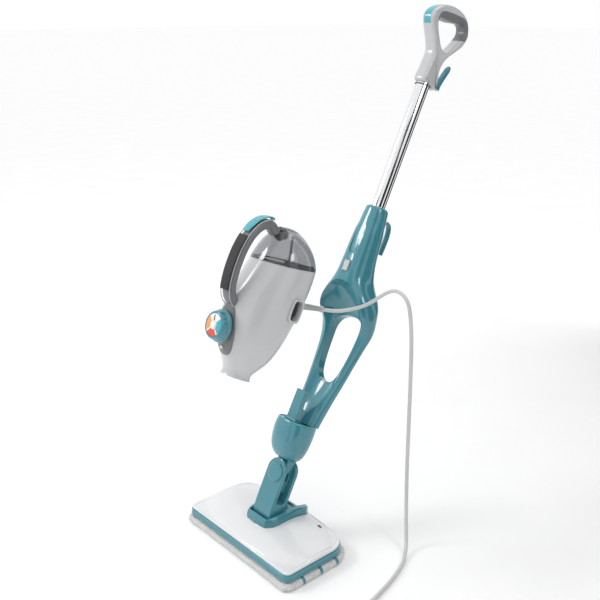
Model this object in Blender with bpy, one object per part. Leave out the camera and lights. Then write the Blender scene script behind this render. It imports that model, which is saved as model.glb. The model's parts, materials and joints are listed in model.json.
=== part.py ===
"""Steam mop: floor head with microfibre pad, two-way joint, cradle frame, bright tube, D handle
and a detachable handheld steamer on a 5 m mains cord. Metres, +Z up, floor at z = 0,
front of the mop towards -Y, pole leaning back towards +Y."""
import math

import bmesh
import bpy
from mathutils import Matrix, Vector

for old in list(bpy.data.objects):
    bpy.data.objects.remove(old, do_unlink=True)

# ---------------------------------------------------------------- driving dimensions
GAP = 0.0003              # between pieces that touch
LEAN = math.radians(27.28)  # pole leans back
SWING = Vector((0, 0.040, 0.130))     # swing (left-right) axis of the joint, world
TILT_Y, TILT_Z = 0.0024, -0.0865      # tilt (front-back) axis, in pole coordinates
HEAD_L, HEAD_FRONT, HEAD_BACK = 0.300, -0.075, 0.086
PAD_OVER, PAD_T = 0.009, 0.0135
BASE_TOP = 0.0300
TUBE_R, TUBE_WALL = 0.014, 0.0010
TUBE_LOW, TUBE_HIGH = 0.440, 0.842
COLLAR_TOP = 0.547
DOCK_Y, DOCK_Z = -0.036, 0.110        # outlet of the handheld when docked, pole coordinates
HELD_Y, HELD_Z = -0.202, 0.162        # outlet of the handheld as it is held here
WALL = 0.0024
PIN_R, RUN = 0.0035, 0.00008          # joint pins and their running clearance
CORD_R, CORD_STEP = 0.0036, 0.0045
TRIGGER_TRAVEL = 0.0026   # at its lower end, about its upper end

# ---------------------------------------------------------------- materials
PAINT = {
    "terry_white": ((0.86, 0.86, 0.85), 0.95, 0.0),
    "teal_gloss": ((0.075, 0.30, 0.36), 0.28, 0.0),
    "white_gloss": ((0.88, 0.88, 0.88), 0.25, 0.0),
    "warm_white": ((0.80, 0.80, 0.79), 0.30, 0.0),
    "aluminium": ((0.72, 0.73, 0.74), 0.35, 1.0),
    "steel": ((0.60, 0.60, 0.61), 0.30, 1.0),
    "bright_alloy": ((0.82, 0.83, 0.85), 0.08, 1.0),
    "grey_plastic": ((0.42, 0.42, 0.43), 0.40, 0.0),
    "light_grey": ((0.62, 0.62, 0.62), 0.40, 0.0),
    "dark_grey": ((0.13, 0.13, 0.14), 0.45, 0.0),
    "black_rubber": ((0.025, 0.025, 0.027), 0.70, 0.0),
    "smoked_clear": ((0.40, 0.41, 0.42), 0.08, 0.0),
    "teal_light": ((0.13, 0.52, 0.60), 0.25, 0.0),
    "dial_white": ((0.90, 0.90, 0.90), 0.30, 0.0),
    "cord_grey": ((0.66, 0.66, 0.65), 0.50, 0.0),
    "board_green": ((0.05, 0.22, 0.10), 0.55, 0.0),
}


def paint(name):
    """A new material for one piece."""
    color, rough, metal = PAINT[name]
    m = bpy.data.materials.new(name)
    m.use_nodes = True
    s = m.node_tree.nodes["Principled BSDF"]
    s.inputs["Base Color"].default_value = (*color, 1)
    s.inputs["Roughness"].default_value = rough
    s.inputs["Metallic"].default_value = metal
    return m


# ---------------------------------------------------------------- frames
def empty(name, parent=None, loc=(0, 0, 0), rx=0.0):
    e = bpy.data.objects.new(name, None)
    e.location, e.rotation_euler = loc, (rx, 0, 0)
    e.parent = parent
    bpy.context.collection.objects.link(e)
    return e


Y_POLE = Vector((0, math.cos(LEAN), -math.sin(LEAN)))
Z_POLE = Vector((0, math.sin(LEAN), math.cos(LEAN)))
X_AXIS = Vector((1, 0, 0))
TILT = SWING + Y_POLE * TILT_Y + Z_POLE * TILT_Z
tilt_frame = empty("tilt_frame", None, TILT, -LEAN)
pole_frame = empty("pole_frame", tilt_frame, (0, -TILT_Y, -TILT_Z))
held_frame = empty("held_frame", pole_frame, (0, HELD_Y, HELD_Z))
# each frame: (parent, where the frame's own coordinates have their zero)
FRAMES = {
    "world": (None, Vector((0, 0, 0))),
    "tower": (tilt_frame, Vector((0, TILT_Y, TILT_Z))),
    "pole": (pole_frame, Vector((0, 0, 0))),
    "held": (held_frame, Vector((0, 0, 0))),
}


# ---------------------------------------------------------------- shape tools
def add(name, verts, faces, frame="pole", finish="teal_gloss", pivot=(0, 0, 0), smooth=38):
    """A named piece from points given in its frame's coordinates; pivot is its origin there."""
    parent, zero = FRAMES[frame]
    pivot = Vector(pivot)
    shift = pivot if pivot.length else zero
    me = bpy.data.meshes.new(name)
    me.from_pydata([tuple(Vector(v) - shift) for v in verts], [], faces)
    bm = bmesh.new()
    bm.from_mesh(me)
    bmesh.ops.remove_doubles(bm, verts=bm.verts, dist=1e-7)
    bmesh.ops.recalc_face_normals(bm, faces=bm.faces)
    bm.to_mesh(me)
    bm.free()
    ob = bpy.data.objects.new(name, me)
    bpy.context.collection.objects.link(ob)
    ob.parent = parent
    if pivot.length:
        ob.location = pivot - zero
    if finish:
        me.materials.append(paint(finish))
    shade(ob, smooth)
    return ob


def shade(ob, angle=38):
    """Smooth faces, with edges sharper than the angle kept crisp."""
    bm = bmesh.new()
    bm.from_mesh(ob.data)
    for f in bm.faces:
        f.smooth = True
    for e in bm.edges:
        e.smooth = len(e.link_faces) != 2 or e.calc_face_angle(0) < math.radians(angle)
    bm.to_mesh(ob.data)
    bm.free()


def settle(ob):
    """Its modifiers become its mesh."""
    bpy.context.view_layer.update()
    me = bpy.data.meshes.new_from_object(ob.evaluated_get(bpy.context.evaluated_depsgraph_get()))
    ob.modifiers.clear()
    ob.data = me


def drop_crumbs(bm):
    """Bodies under 8 cubic millimetres, left at the edges of a cut, go."""
    left, bodies = set(bm.faces), []
    while left:
        todo = [left.pop()]
        body = set(todo)
        while todo:
            for e in todo.pop().edges:
                for g in e.link_faces:
                    if g not in body:
                        body.add(g)
                        left.discard(g)
                        todo.append(g)
        bodies.append(body)
    small = [b for b in bodies
             if abs(sum(f.calc_center_median().dot(f.normal) * f.calc_area() for f in b)) < 24e-9]
    bmesh.ops.delete(bm, geom=[f for b in small for f in b], context="FACES")
    bmesh.ops.delete(bm, geom=[v for v in bm.verts if not v.link_faces], context="VERTS")


def carve(ob, tool, how="DIFFERENCE"):
    """The tool is cut from the piece, or joined or intersected with it."""
    m = ob.modifiers.new("carve", "BOOLEAN")
    m.object, m.operation, m.solver = tool, how, "EXACT"
    settle(ob)
    bm = bmesh.new()
    bm.from_mesh(ob.data)
    bmesh.ops.remove_doubles(bm, verts=bm.verts, dist=2e-6)
    bmesh.ops.dissolve_degenerate(bm, edges=bm.edges, dist=2e-6)
    bm.verts.index_update()
    bm.normal_update()
    seen = {}
    for f in bm.faces:
        seen.setdefault(frozenset(v.index for v in f.verts), []).append(f)
    twice = [f for same in seen.values() if len(same) > 1 for f in same]
    bmesh.ops.delete(bm, geom=twice, context="FACES")
    bmesh.ops.delete(bm, geom=[v for v in bm.verts if not v.link_faces], context="VERTS")
    drop_crumbs(bm)
    bm.to_mesh(ob.data)
    bm.free()
    shade(ob)
    bpy.data.objects.remove(tool, do_unlink=True)
    return ob


def twin(ob):
    """A copy with a mesh of its own."""
    other = ob.copy()
    other.data = ob.data.copy()
    bpy.context.collection.objects.link(other)
    return other


def soften(ob, width, steps=2, angle=40):
    """Its edges are rounded."""
    m = ob.modifiers.new("soften", "BEVEL")
    m.width, m.segments, m.limit_method = width, steps, "ANGLE"
    m.angle_limit = math.radians(angle)
    settle(ob)
    shade(ob)
    return ob


def power(t, p):
    c, s = math.cos(t), math.sin(t)
    return (math.copysign(abs(c) ** (2 / p), c), math.copysign(abs(s) ** (2 / p), s))


def ring(a, yf, yb, z, p=2.4, n=34, rise=0.0):
    """One rounded section, a wide each side, from yf at the front to yb at the back."""
    out, mid, b = [], (yf + yb) / 2, (yb - yf) / 2
    for i in range(n):
        c, s = power(2 * math.pi * i / n, p)
        y = mid + b * s
        out.append((a * c, y, z + rise * y))
    return out


def loft(rings):
    """Points and faces of a solid through the rings, capped at both ends."""
    n = len(rings[0])
    verts = [v for r in rings for v in r]
    faces = [(k * n + i, k * n + (i + 1) % n, (k + 1) * n + (i + 1) % n, (k + 1) * n + i)
             for k in range(len(rings) - 1) for i in range(n)]
    faces += [tuple(range(n))[::-1], tuple((len(rings) - 1) * n + i for i in range(n))]
    return verts, faces


def shell(outer, inner, closed_top=False):
    """Points and faces of a wall between two sets of rings, open below and, unless closed, above."""
    n, ko, ki = len(outer[0]), len(outer), len(inner)
    verts = [v for r in outer + inner for v in r]
    faces = []
    for first, count in ((0, ko), (ko, ki)):
        faces += [((first + k) * n + i, (first + k) * n + (i + 1) % n,
                   (first + k + 1) * n + (i + 1) % n, (first + k + 1) * n + i)
                  for k in range(count - 1) for i in range(n)]
    faces += [(i, (i + 1) % n, ko * n + (i + 1) % n, ko * n + i) for i in range(n)]
    top, low = (ko - 1) * n, (ko + ki - 1) * n
    if closed_top:
        faces += [tuple(top + i for i in range(n)), tuple(low + i for i in range(n))[::-1]]
    else:
        faces += [(top + i, top + (i + 1) % n, low + (i + 1) % n, low + i) for i in range(n)]
    return verts, faces


def smooth_loop(pts, per=4):
    """A closed smooth line through the points."""
    out, n = [], len(pts)
    for i in range(n):
        p0, p1, p2, p3 = (pts[(i + k - 1) % n] for k in range(4))
        for j in range(per):
            t = j / per
            out.append(tuple(0.5 * (2 * b + (c - a) * t + (2 * a - 5 * b + 4 * c - d) * t * t
                                    + (3 * b - a - 3 * c + d) * t ** 3)
                             for a, b, c, d in zip(p0, p1, p2, p3)))
    return out


def smooth_line(pts, per=4):
    """An open smooth line through the points."""
    p = [tuple(2 * a - b for a, b in zip(pts[0], pts[1]))] + list(pts)
    p += [tuple(2 * a - b for a, b in zip(pts[-1], pts[-2]))]
    out = []
    for i in range(1, len(p) - 2):
        for j in range(per):
            t = j / per
            out.append(tuple(0.5 * (2 * b + (c - a) * t + (2 * a - 5 * b + 4 * c - d) * t * t
                                    + (3 * b - a - 3 * c + d) * t ** 3)
                             for a, b, c, d in zip(p[i - 1], p[i], p[i + 1], p[i + 2])))
    return out + [tuple(pts[-1])]


def prism(outline, along, lo, hi):
    """Points and faces of an outline pushed along an axis. Outline is in the other two axes."""
    n, verts = len(outline), []
    for h in (lo, hi):
        for u, v in outline:
            verts.append({"x": (h, u, v), "y": (u, h, v), "z": (u, v, h)}[along])
    faces = [(i, (i + 1) % n, n + (i + 1) % n, n + i) for i in range(n)]
    return verts, faces + [tuple(range(n))[::-1], tuple(range(n, 2 * n))]


def box(x0, x1, y0, y1, z0, z1):
    return prism([(x0, y0), (x1, y0), (x1, y1), (x0, y1)], "z", z0, z1)


def disc(centre, r, n=32):
    return [(centre[0] + r * math.cos(2 * math.pi * i / n), centre[1] + r * math.sin(2 * math.pi * i / n))
            for i in range(n)]


def rod(start, end, r, n=24, r2=None):
    """A round bar between two points."""
    s, e = Vector(start), Vector(end)
    d = (e - s).normalized()
    u = d.orthogonal().normalized()
    w = d.cross(u)
    rings = [[tuple(c + (u * math.cos(t) + w * math.sin(t)) * q)
              for t in (2 * math.pi * i / n for i in range(n))] for c, q in ((s, r), (e, r2 or r))]
    return loft(rings)


def pipe(start, end, r, r_in, n=28):
    """A round tube with a wall."""
    outer = loft_rings(start, end, r, n)
    return shell(outer, loft_rings(start, end, r_in, n))


def loft_rings(start, end, r, n):
    s, e = Vector(start), Vector(end)
    d = (e - s).normalized()
    u = d.orthogonal().normalized()
    w = d.cross(u)
    return [[tuple(c + (u * math.cos(t) + w * math.sin(t)) * r)
             for t in (2 * math.pi * i / n for i in range(n))] for c in (s, e)]


def bar(path, sizes, p=3.0, n=12):
    """A rounded bar along a line of (y, z) in the middle plane; sizes are (half width, half depth)."""
    rings = []
    for k, (y, z) in enumerate(path):
        a, b = path[max(k - 1, 0)], path[min(k + 1, len(path) - 1)]
        t = Vector((0, b[0] - a[0], b[1] - a[1])).normalized()
        side = Vector((0, t.z, -t.y))
        hw, hd = sizes[k] if isinstance(sizes, list) else sizes
        rings.append([tuple(Vector((0, y, z)) + Vector((hw * c, 0, 0)) + side * (hd * s))
                      for c, s in (power(2 * math.pi * i / n, p) for i in range(n))])
    return loft(rings)


def beside(path, off):
    """A line of (y, z) moved sideways by off, to the left of its direction."""
    out = []
    for k, (y, z) in enumerate(path):
        a, b = path[max(k - 1, 0)], path[min(k + 1, len(path) - 1)]
        n = math.hypot(b[0] - a[0], b[1] - a[1])
        out.append((y + off * (b[1] - a[1]) / n, z - off * (b[0] - a[0]) / n))
    return out


def inset(loop, d):
    """A closed line moved inwards by d, or outwards if d is negative."""
    n = len(loop)
    turn = sum(a[0] * b[1] - b[0] * a[1] for a, b in zip(loop, loop[1:] + loop[:1]))
    d = math.copysign(1, turn) * d
    out = []
    for k, (u, v) in enumerate(loop):
        a, b = loop[k - 1], loop[(k + 1) % n]
        h = math.hypot(b[0] - a[0], b[1] - a[1])
        out.append((u - d * (b[1] - a[1]) / h, v + d * (b[0] - a[0]) / h))
    return out


def between(z, table):
    """Values of a table of rows (z, a, b, ...) at height z, joined smoothly."""
    if z <= table[0][0]:
        return table[0][1:]
    for lo, hi in zip(table, table[1:]):
        if z <= hi[0]:
            t = (z - lo[0]) / (hi[0] - lo[0])
            return tuple(a + (b - a) * t for a, b in zip(lo[1:], hi[1:]))
    return table[-1][1:]


# ================================================================ floor head (world)
def footprint(grow=0.0, n_corner=5):
    """The head's outline seen from above: straight front, bowed back with large corners."""
    half, front, back = HEAD_L / 2 + grow, HEAD_FRONT - grow, HEAD_BACK + grow
    rf, rb, bow = 0.012 + grow, 0.042 + grow, 0.006
    pts = []
    for cx, cy, r, a0 in ((half - rf, front + rf, rf, -90), (half - rb, back - rb - bow, rb, 0),
                          (-half + rb, back - rb - bow, rb, 90), (-half + rf, front + rf, rf, 180)):
        for i in range(n_corner + 1):
            t = math.radians(a0 + 90 * i / n_corner)
            pts.append((cx + r * math.cos(t), cy + r * math.sin(t)))
        if a0 == 0:
            for k in range(1, 8):
                f = -1 + 2 * k / 8
                pts.append((-(half - rb) * f, back - bow * f * f))
    return pts


def plate(name, levels, finish, **kw):
    """A slab through levels of (grow, z)."""
    rings = [[(x, y, z) for x, y in footprint(g)] for g, z in levels]
    v, f = loft(rings)
    return add(name, v, f, "world", finish, **kw)


plate("mop_pad", [(PAD_OVER - 0.003, 0.0), (PAD_OVER - 0.0006, 0.002), (PAD_OVER, 0.005),
                  (PAD_OVER, 0.0095), (PAD_OVER - 0.001, 0.012), (PAD_OVER - 0.003, PAD_T)], "terry_white")

Z0 = PAD_T + GAP
base = plate("base_plate", [(-0.0015, Z0), (0.0015, Z0 + 0.0025), (0.0025, Z0 + 0.007),
                            (0.0012, Z0 + 0.0085), (0.0012, BASE_TOP - 0.0015), (0.0, BASE_TOP)],
             "teal_gloss")
v, f = loft([[(x, y, z) for x, y in footprint(-0.004)] for z in (Z0 + 0.006, BASE_TOP + 0.01)])
carve(base, add("t", v, f, "world", None))
v, f = box(-0.1235, 0.1235, -0.0535, 0.0535, Z0 - 0.01, Z0 + 0.0033)
carve(base, add("t", v, f, "world", None))
# four drain slots along the front edge and two at the side, where the pad's edge is gripped
for x in (-0.115, -0.045, 0.030, 0.115):
    v, f = box(x - 0.0035, x + 0.0035, HEAD_FRONT - 0.01, HEAD_FRONT + 0.0015, Z0 - 0.001, Z0 + 0.0035)
    carve(base, add("t", v, f, "world", None))

v, f = box(-0.1232, 0.1232, -0.0532, 0.0532, Z0 + 0.0004, Z0 + 0.0030)
steam_plate = add("steam_plate", v, f, "world", "aluminium")
for i in range(-4, 5):
    v, f = prism(disc((i * 0.026, 0.0), 0.0022, 12), "z", Z0 - 0.001, Z0 + 0.006)
    carve(steam_plate, add("t", v, f, "world", None))


def dome(x, y, grow=0.0):
    """Height of the white cover above the floor."""
    ex = max(0.0, abs(x) / (HEAD_L / 2)) ** 2.6
    ey = max(0.0, abs(y - 0.003) / 0.0785) ** 2.6
    e = min(1.0, ex + ey)
    centre = math.exp(-((x / 0.060) ** 2 + ((y - 0.020) / 0.055) ** 2))
    return BASE_TOP + GAP + 0.0042 + 0.0105 * (1 - e) ** 0.6 + 0.0045 * centre + grow


def cover_rings(inset, drop):
    """Rings from the rim to the crown of the cover."""
    rings = []
    for s in (1.0, 0.975, 0.92, 0.82, 0.66, 0.46, 0.24, 0.05):
        pts = footprint(-0.0002 - inset)
        rings.append([(x * s, 0.003 + (y - 0.003) * s, dome(x * s, 0.003 + (y - 0.003) * s) - drop)
                      for x, y in pts])
    return rings


outer = [[(x, y, BASE_TOP + GAP) for x, y in footprint(-0.0002)]] + cover_rings(0.0, 0.0)
inner = [[(x, y, BASE_TOP + GAP) for x, y in footprint(-0.0002 - 0.003)]] + cover_rings(0.003, 0.0028)
v, f = shell(outer, inner, closed_top=True)
cover = add("head_cover", v, f, "world", "white_gloss")

# joint socket: front lip, two arms and the well between them
SOCK_X, ARM_IN, SOCK_BACK = 0.0385, 0.0268, 0.0790
SOCK_FRONT, LIP_IN, WELL_Z, SOCK_TOP = -0.0265, -0.0195, 0.0335, 0.0625


def socket_outline(g):
    """Seen from above: broad rounded front, straight sides, rounded back."""
    pts = [(-SOCK_X - g, SOCK_BACK - 0.008), (-SOCK_X - g, 0.0), (-SOCK_X - g + 0.002, -0.012),
           (-SOCK_X + 0.012, SOCK_FRONT + 0.001 - g), (0.0, SOCK_FRONT - 0.0015 - g)]
    right = [(-x, y) for x, y in pts[:-1]][::-1]
    tail = [(SOCK_X + g - 0.004, SOCK_BACK + g), (-SOCK_X - g + 0.004, SOCK_BACK + g)]
    return pts + right + tail


levels = [(0.0, BASE_TOP - 0.006), (0.0, 0.052), (-0.001, 0.0575), (-0.0035, SOCK_TOP - 0.0012),
          (-0.006, SOCK_TOP)]
v, f = loft([[(x, y, z) for x, y in socket_outline(g)] for g, z in levels])
socket = add("joint_socket", v, f, "world", "teal_gloss")
v, f = box(-ARM_IN, ARM_IN, LIP_IN, 0.2, WELL_Z, 0.2)
carve(socket, add("t", v, f, "world", None))
# arm tops fall away towards the back
v, f = prism([(0.035, 0.2), (0.035, SOCK_TOP + 0.0005), (0.060, 0.0600), (0.092, 0.0515), (0.092, 0.2)],
             "x", -0.1, 0.1)
carve(socket, add("t", v, f, "world", None))
v, f = rod((-0.0352, TILT.y, TILT.z), (0.0352, TILT.y, TILT.z), PIN_R + RUN, 32)
carve(socket, add("t", v, f, "world", None))
v, f = prism(disc((-0.0325, 0.006), 0.0018, 16), "z", 0.055, 0.08)
carve(socket, add("t", v, f, "world", None))
v, f = prism(disc((0.0, 0.060), 0.004, 20), "z", 0.02, 0.05)
carve(socket, add("t", v, f, "world", None))
v, f = loft([[(x, y, z) for x, y in socket_outline(GAP)] for z in (BASE_TOP - 0.01, 0.09)])
carve(cover, add("t", v, f, "world", None))
v, f = pipe((0, 0.060, Z0 + 0.0063), (0, 0.060, BASE_TOP - 0.0063), 0.006, 0.004, 20)
add("steam_inlet", v, f, "world", "dark_grey")
v, f = rod((-0.0348, TILT.y, TILT.z), (0.0348, TILT.y, TILT.z), PIN_R, 32)
add("tilt_pin", v, f, "world", "steel")
STUD_X, STUD_Y = 0.0850, 0.0640                 # lever that frees the pad, near the back edge
stud_line = [(-0.0042, -0.0014), (0.0032, -0.0019), (0.0041, 0.0015), (-0.0032, 0.0021)]
v, f = prism(smooth_loop([(STUD_X + 1.2 * x, STUD_Y + 1.3 * y) for x, y in stud_line], 4), "z",
             0.0, dome(STUD_X, STUD_Y) + 0.0022)
latch_hole = add("t", v, f, "world", None)
carve(cover, latch_hole)
v, f = prism(smooth_loop([(STUD_X + x, STUD_Y + y) for x, y in stud_line], 4), "z",
             BASE_TOP + 0.001, dome(STUD_X, STUD_Y) + 0.0015)
add("pad_release_stud", v, f, "world", "dark_grey")

# ================================================================ tower of the joint
CH_F, CH_B, CH_T = -0.0165, 0.0215, 0.0078      # outer faces of the cheeks and their thickness
HALF = 0.0245
u_shape = [(CH_F, 0.04), (CH_F + CH_T, 0.04), (CH_F + CH_T, -0.052), (CH_F + CH_T + 0.003, -0.056),
           (CH_B - CH_T - 0.003, -0.056), (CH_B - CH_T, -0.052), (CH_B - CH_T, 0.04), (CH_B, 0.04),
           (CH_B, -0.066)]
for i in range(1, 12):                          # rounded foot about the tilt axis
    t = math.radians(i * 180 / 12)
    u_shape.append((TILT_Y + (CH_B - TILT_Y) * 0.92 * math.cos(t), TILT_Z + 0.006 - 0.0205 * math.sin(t)))
u_shape.append((CH_F, -0.066))
v, f = prism(u_shape, "x", -HALF, HALF)
fork = add("joint_fork", v, f, "tower", "teal_gloss")
front = [(-HALF + 0.0006, -0.12)] + [
    (HALF * math.cos(math.radians(a)), 0.004 + HALF * math.sin(math.radians(a)))
    for a in range(180, -1, -12)] + [(HALF - 0.0006, -0.12)]
v, f = prism(front, "y", -0.1, 0.1)
carve(fork, add("t", v, f, "tower", None), "INTERSECT")
soften(fork, 0.0014, 2, 50)
v, f = rod((-0.04, TILT_Y, TILT_Z), (0.04, TILT_Y, TILT_Z), PIN_R + RUN, 32)
carve(fork, add("t", v, f, "tower", None))
v, f = rod((0, -0.1, 0), (0, 0.1, 0), 0.0045 + RUN, 32)
carve(fork, add("t", v, f, "tower", None))


def cap(name, y0, y1, r):
    """Low domed boss cap."""
    s = 1 if y1 > y0 else -1
    rings = [[(q * math.cos(2 * math.pi * i / 28), y, q * math.sin(2 * math.pi * i / 28)) for i in range(28)]
             for q, y in ((r, y0), (r, y0 + s * 0.0012), (r - 0.0016, y1 - s * 0.0008), (r * 0.72, y1))]
    v, f = loft(rings)
    return add(name, v, f, "tower", "teal_gloss")


cap("boss_cap_front", CH_F - GAP, CH_F - 0.0036, 0.0195)
cap("boss_cap_back", CH_B + GAP, CH_B + 0.0036, 0.0195)
v, f = rod((0, CH_F + 0.0002, 0), (0, CH_B - 0.0002, 0), 0.0045, 32)
add("swing_pin", v, f, "tower", "steel")

# ================================================================ pole: tongue and cup
T_F, T_B = CH_F + CH_T + 0.0006, CH_B - CH_T - 0.0006
tongue_line = [(-0.0105, -0.038), (-0.0135, -0.030), (-0.0150, -0.012), (-0.0150, 0.020), (-0.0135, 0.0440),
               (0.0135, 0.0440), (0.0150, 0.020), (0.0150, -0.012), (0.0135, -0.030), (0.0105, -0.038)]
v, f = prism(tongue_line, "y", T_F, T_B)
tongue = add("swing_tongue", v, f, "pole", "teal_gloss")
soften(tongue, 0.0010, 2, 50)
v, f = rod((0, -0.1, 0), (0, 0.1, 0), 0.0045 + RUN, 32)
carve(tongue, add("t", v, f, "pole", None))
for s in (-1, 1):
    v, f = box(min(s * 0.0095, s * 0.03), max(s * 0.0095, s * 0.03), -0.0010, 0.0065, -0.0125, 0.0045)
    carve(tongue, add("t", v, f, "pole", None))

CUP = [  # z, half width, front, back
    (0.0300, 0.0190, -0.0160, 0.0195), (0.0322, 0.0228, -0.0220, 0.0215), (0.0380, 0.0280, -0.0285, 0.0238),
    (0.0480, 0.0328, -0.0350, 0.0265), (0.0620, 0.0358, -0.0395, 0.0285), (0.0800, 0.0372, -0.0425, 0.0300),
    (0.0950, 0.0368, -0.0430, 0.0305), (0.1035, 0.0358, -0.0420, 0.0305), (0.1055, 0.0350, -0.0410, 0.0300)]
outer = [ring(a, yf, yb, z, 2.7) for z, a, yf, yb in CUP]
inner = [ring(a - 0.003, yf + 0.003, yb - 0.003, z, 2.7) for z, a, yf, yb in CUP if z > 0.036]
v, f = loft(outer)
cup = add("cup_housing", v, f, "pole", "teal_gloss")
v, f = loft(inner[:-1] + [[(x, y, 0.12) for x, y, _ in inner[-1]]])
carve(cup, add("t", v, f, "pole", None))
v, f = box(-0.0153, 0.0153, T_F - GAP, T_B + GAP, 0.0, 0.0443)
carve(cup, add("t", v, f, "pole", None))
d_a, d_f, d_b = 0.0350 - 0.0033, -0.0410 + 0.0033, 0.0300 - 0.0033
v, f = loft([ring(d_a, d_f, d_b, 0.1015, 2.7), ring(d_a, d_f, d_b, 0.1050, 2.7)])
deck = add("cup_deck", v, f, "pole", "teal_gloss")
BL_Y = DOCK_Y + 0.0145          # the steam block stands a little behind the outlet's centre
v, f = rod((0, BL_Y, 0.05), (0, BL_Y, 0.2), 0.0033, 20)
carve(deck, add("t", v, f, "pole", None))
block_line = [(-0.0125, BL_Y - 0.006), (0.0125, BL_Y - 0.006),
              (0.0125, BL_Y + 0.006), (-0.0125, BL_Y + 0.006)]
rings = [[(x * 1.32, BL_Y + (y - BL_Y) * 1.5, z) for x, y in block_line] for z in (0.1053, 0.1085)]
rings += [[(x * k, BL_Y + (y - BL_Y) * k, z) for x, y in block_line]
          for k, z in ((1.0, 0.1092), (0.92, 0.1675))]
v, f = loft(rings)
block = add("steam_block", v, f, "pole", "teal_gloss")
soften(block, 0.0008, 2, 30)
v, f = rod((0, BL_Y, 0.05), (0, BL_Y, 0.2), 0.0030, 20)
carve(block, add("t", v, f, "pole", None))
v, f = pipe((0, BL_Y, 0.1047), (0, BL_Y, 0.0720), 0.0030, 0.0020, 20)
add("steam_duct", v, f, "pole", "dark_grey")

# ================================================================ handheld body shape
BODY = [  # z, half width, front, back, rise
    (0.0000, 0.0275, -0.0275, 0.0275, 0.00), (0.0040, 0.0262, -0.0265, 0.0262, 0.00),
    (0.0110, 0.0262, -0.0275, 0.0268, 0.00), (0.0220, 0.0318, -0.0330, 0.0350, 0.00),
    (0.0380, 0.0405, -0.0435, 0.0470, 0.00), (0.0570, 0.0475, -0.0545, 0.0555, 0.00),
    (0.0850, 0.0535, -0.0635, 0.0640, 0.00), (0.1200, 0.0570, -0.0670, 0.0715, 0.02),
    (0.1500, 0.0580, -0.0625, 0.0765, 0.05), (0.1850, 0.0578, -0.0530, 0.0795, 0.10),
    (0.2150, 0.0572, -0.0440, 0.0770, 0.14)]
DOME = [
    (0.2158, 0.0570, -0.0438, 0.0768, 0.14), (0.2280, 0.0545, -0.0415, 0.0715, 0.13),
    (0.2420, 0.0495, -0.0375, 0.0630, 0.10), (0.2550, 0.0420, -0.0320, 0.0520, 0.08),
    (0.2660, 0.0325, -0.0245, 0.0395, 0.06), (0.2740, 0.0220, -0.0155, 0.0270, 0.04),
    (0.2790, 0.0115, -0.0070, 0.0150, 0.02), (0.2805, 0.0030, 0.0005, 0.0065, 0.00)]


def body_rings(rows, grow=0.0, drop=0.0, n=34):
    return [ring(a + grow, yf - grow, yb + grow, z - drop, 2.15, n, s) for z, a, yf, yb, s in rows]


# ================================================================ cradle frame
CRADLE = [  # z, half width, front, back
    (0.1062, 0.0345, 0.0000, 0.0300), (0.1250, 0.0355, 0.0030, 0.0330), (0.1650, 0.0400, 0.0090, 0.0385),
    (0.2000, 0.0450, 0.0150, 0.0430), (0.2500, 0.0525, 0.0210, 0.0480), (0.2800, 0.0580, 0.0225, 0.0510),
    (0.3050, 0.0645, 0.0180, 0.0540), (0.3220, 0.0670, 0.0040, 0.0570), (0.3350, 0.0672, -0.0130, 0.0590),
    (0.3500, 0.0650, -0.0215, 0.0600), (0.3620, 0.0615, -0.0240, 0.0595), (0.3760, 0.0545, -0.0255, 0.0570),
    (0.3900, 0.0445, -0.0270, 0.0525), (0.4020, 0.0375, -0.0280, 0.0470), (0.4150, 0.0335, -0.0280, 0.0410),
    (0.4400, 0.0308, -0.0270, 0.0335), (0.4700, 0.0290, -0.0260, 0.0290), (0.5100, 0.0262, -0.0240, 0.0262),
    (0.5380, 0.0232, -0.0222, 0.0235), (0.5455, 0.0218, -0.0212, 0.0220),
    (COLLAR_TOP, 0.0202, -0.0200, 0.0205)]
C_WALL = 0.0028           # wall of the front and back shells
SHELL_LOW, SHELL_HIGH = 0.1110, 0.4360
COLLAR_FRONT = 0.0060     # wall of the collar behind the shallow panel
COLLAR_LEVELS = (0.4350, 0.4550, 0.4750, 0.4950, 0.5150, 0.5300)


def tool(v_f, frame="pole"):
    return add("t", v_f[0], v_f[1], frame, None)


def cradle_rings(thin=0.0, back=0.0, low=0.0, high=1.0):
    rows = [r for r in CRADLE if low < r[0] < high]
    if low:
        rows = [(low, *between(low, CRADLE))] + rows
    if high < 1:
        rows = rows + [(high, *between(high, CRADLE))]
    return [ring(a - thin, yf + thin, yb + back, z, 2.6 if z < 0.50 else 2.15, 38)
            for z, a, yf, yb in rows]


def window_line(grow):
    pts = [(0.016, 0.1990), (0.0265, 0.2150), (0.0330, 0.2450), (0.0375, 0.2850), (0.0385, 0.3060),
           (0.0320, 0.3230), (0.0150, 0.3315)]
    pts = [(0.0, 0.1950)] + pts + [(0.0, 0.3325)] + [(-x, z) for x, z in pts[::-1]]
    cx, cz = 0.0, 0.264
    out = []
    for x, z in pts:
        d = math.hypot(x - cx, z - cz)
        out.append((cx + (x - cx) * (1 + grow / d), cz + (z - cz) * (1 + grow / d)))
    return smooth_loop(out, 3)


def held_room(grow):
    """The space that the handheld sweeps along its way into the cradle."""
    bm = bmesh.new()
    path = Vector((0, HELD_Y - DOCK_Y, HELD_Z - DOCK_Z))
    for k in (0.0, 0.7):
        for r in body_rings(BODY + DOME, grow, 0.0, 28):
            for q in r:
                bm.verts.new(Vector(q) + Vector((0, DOCK_Y, DOCK_Z + grow * 0.8)) + path * k)
        bm.verts.new(Vector((0, DOCK_Y + 0.004, DOCK_Z + 0.2817 + grow)) + path * k)
    bmesh.ops.convex_hull(bm, input=bm.verts)
    bmesh.ops.delete(bm, geom=[w for w in bm.verts if not w.link_faces], context="VERTS")
    me = bpy.data.meshes.new("t")
    bm.to_mesh(me)
    bm.free()
    ob = bpy.data.objects.new("t", me)
    bpy.context.collection.objects.link(ob)
    ob.parent = pole_frame
    return ob


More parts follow.
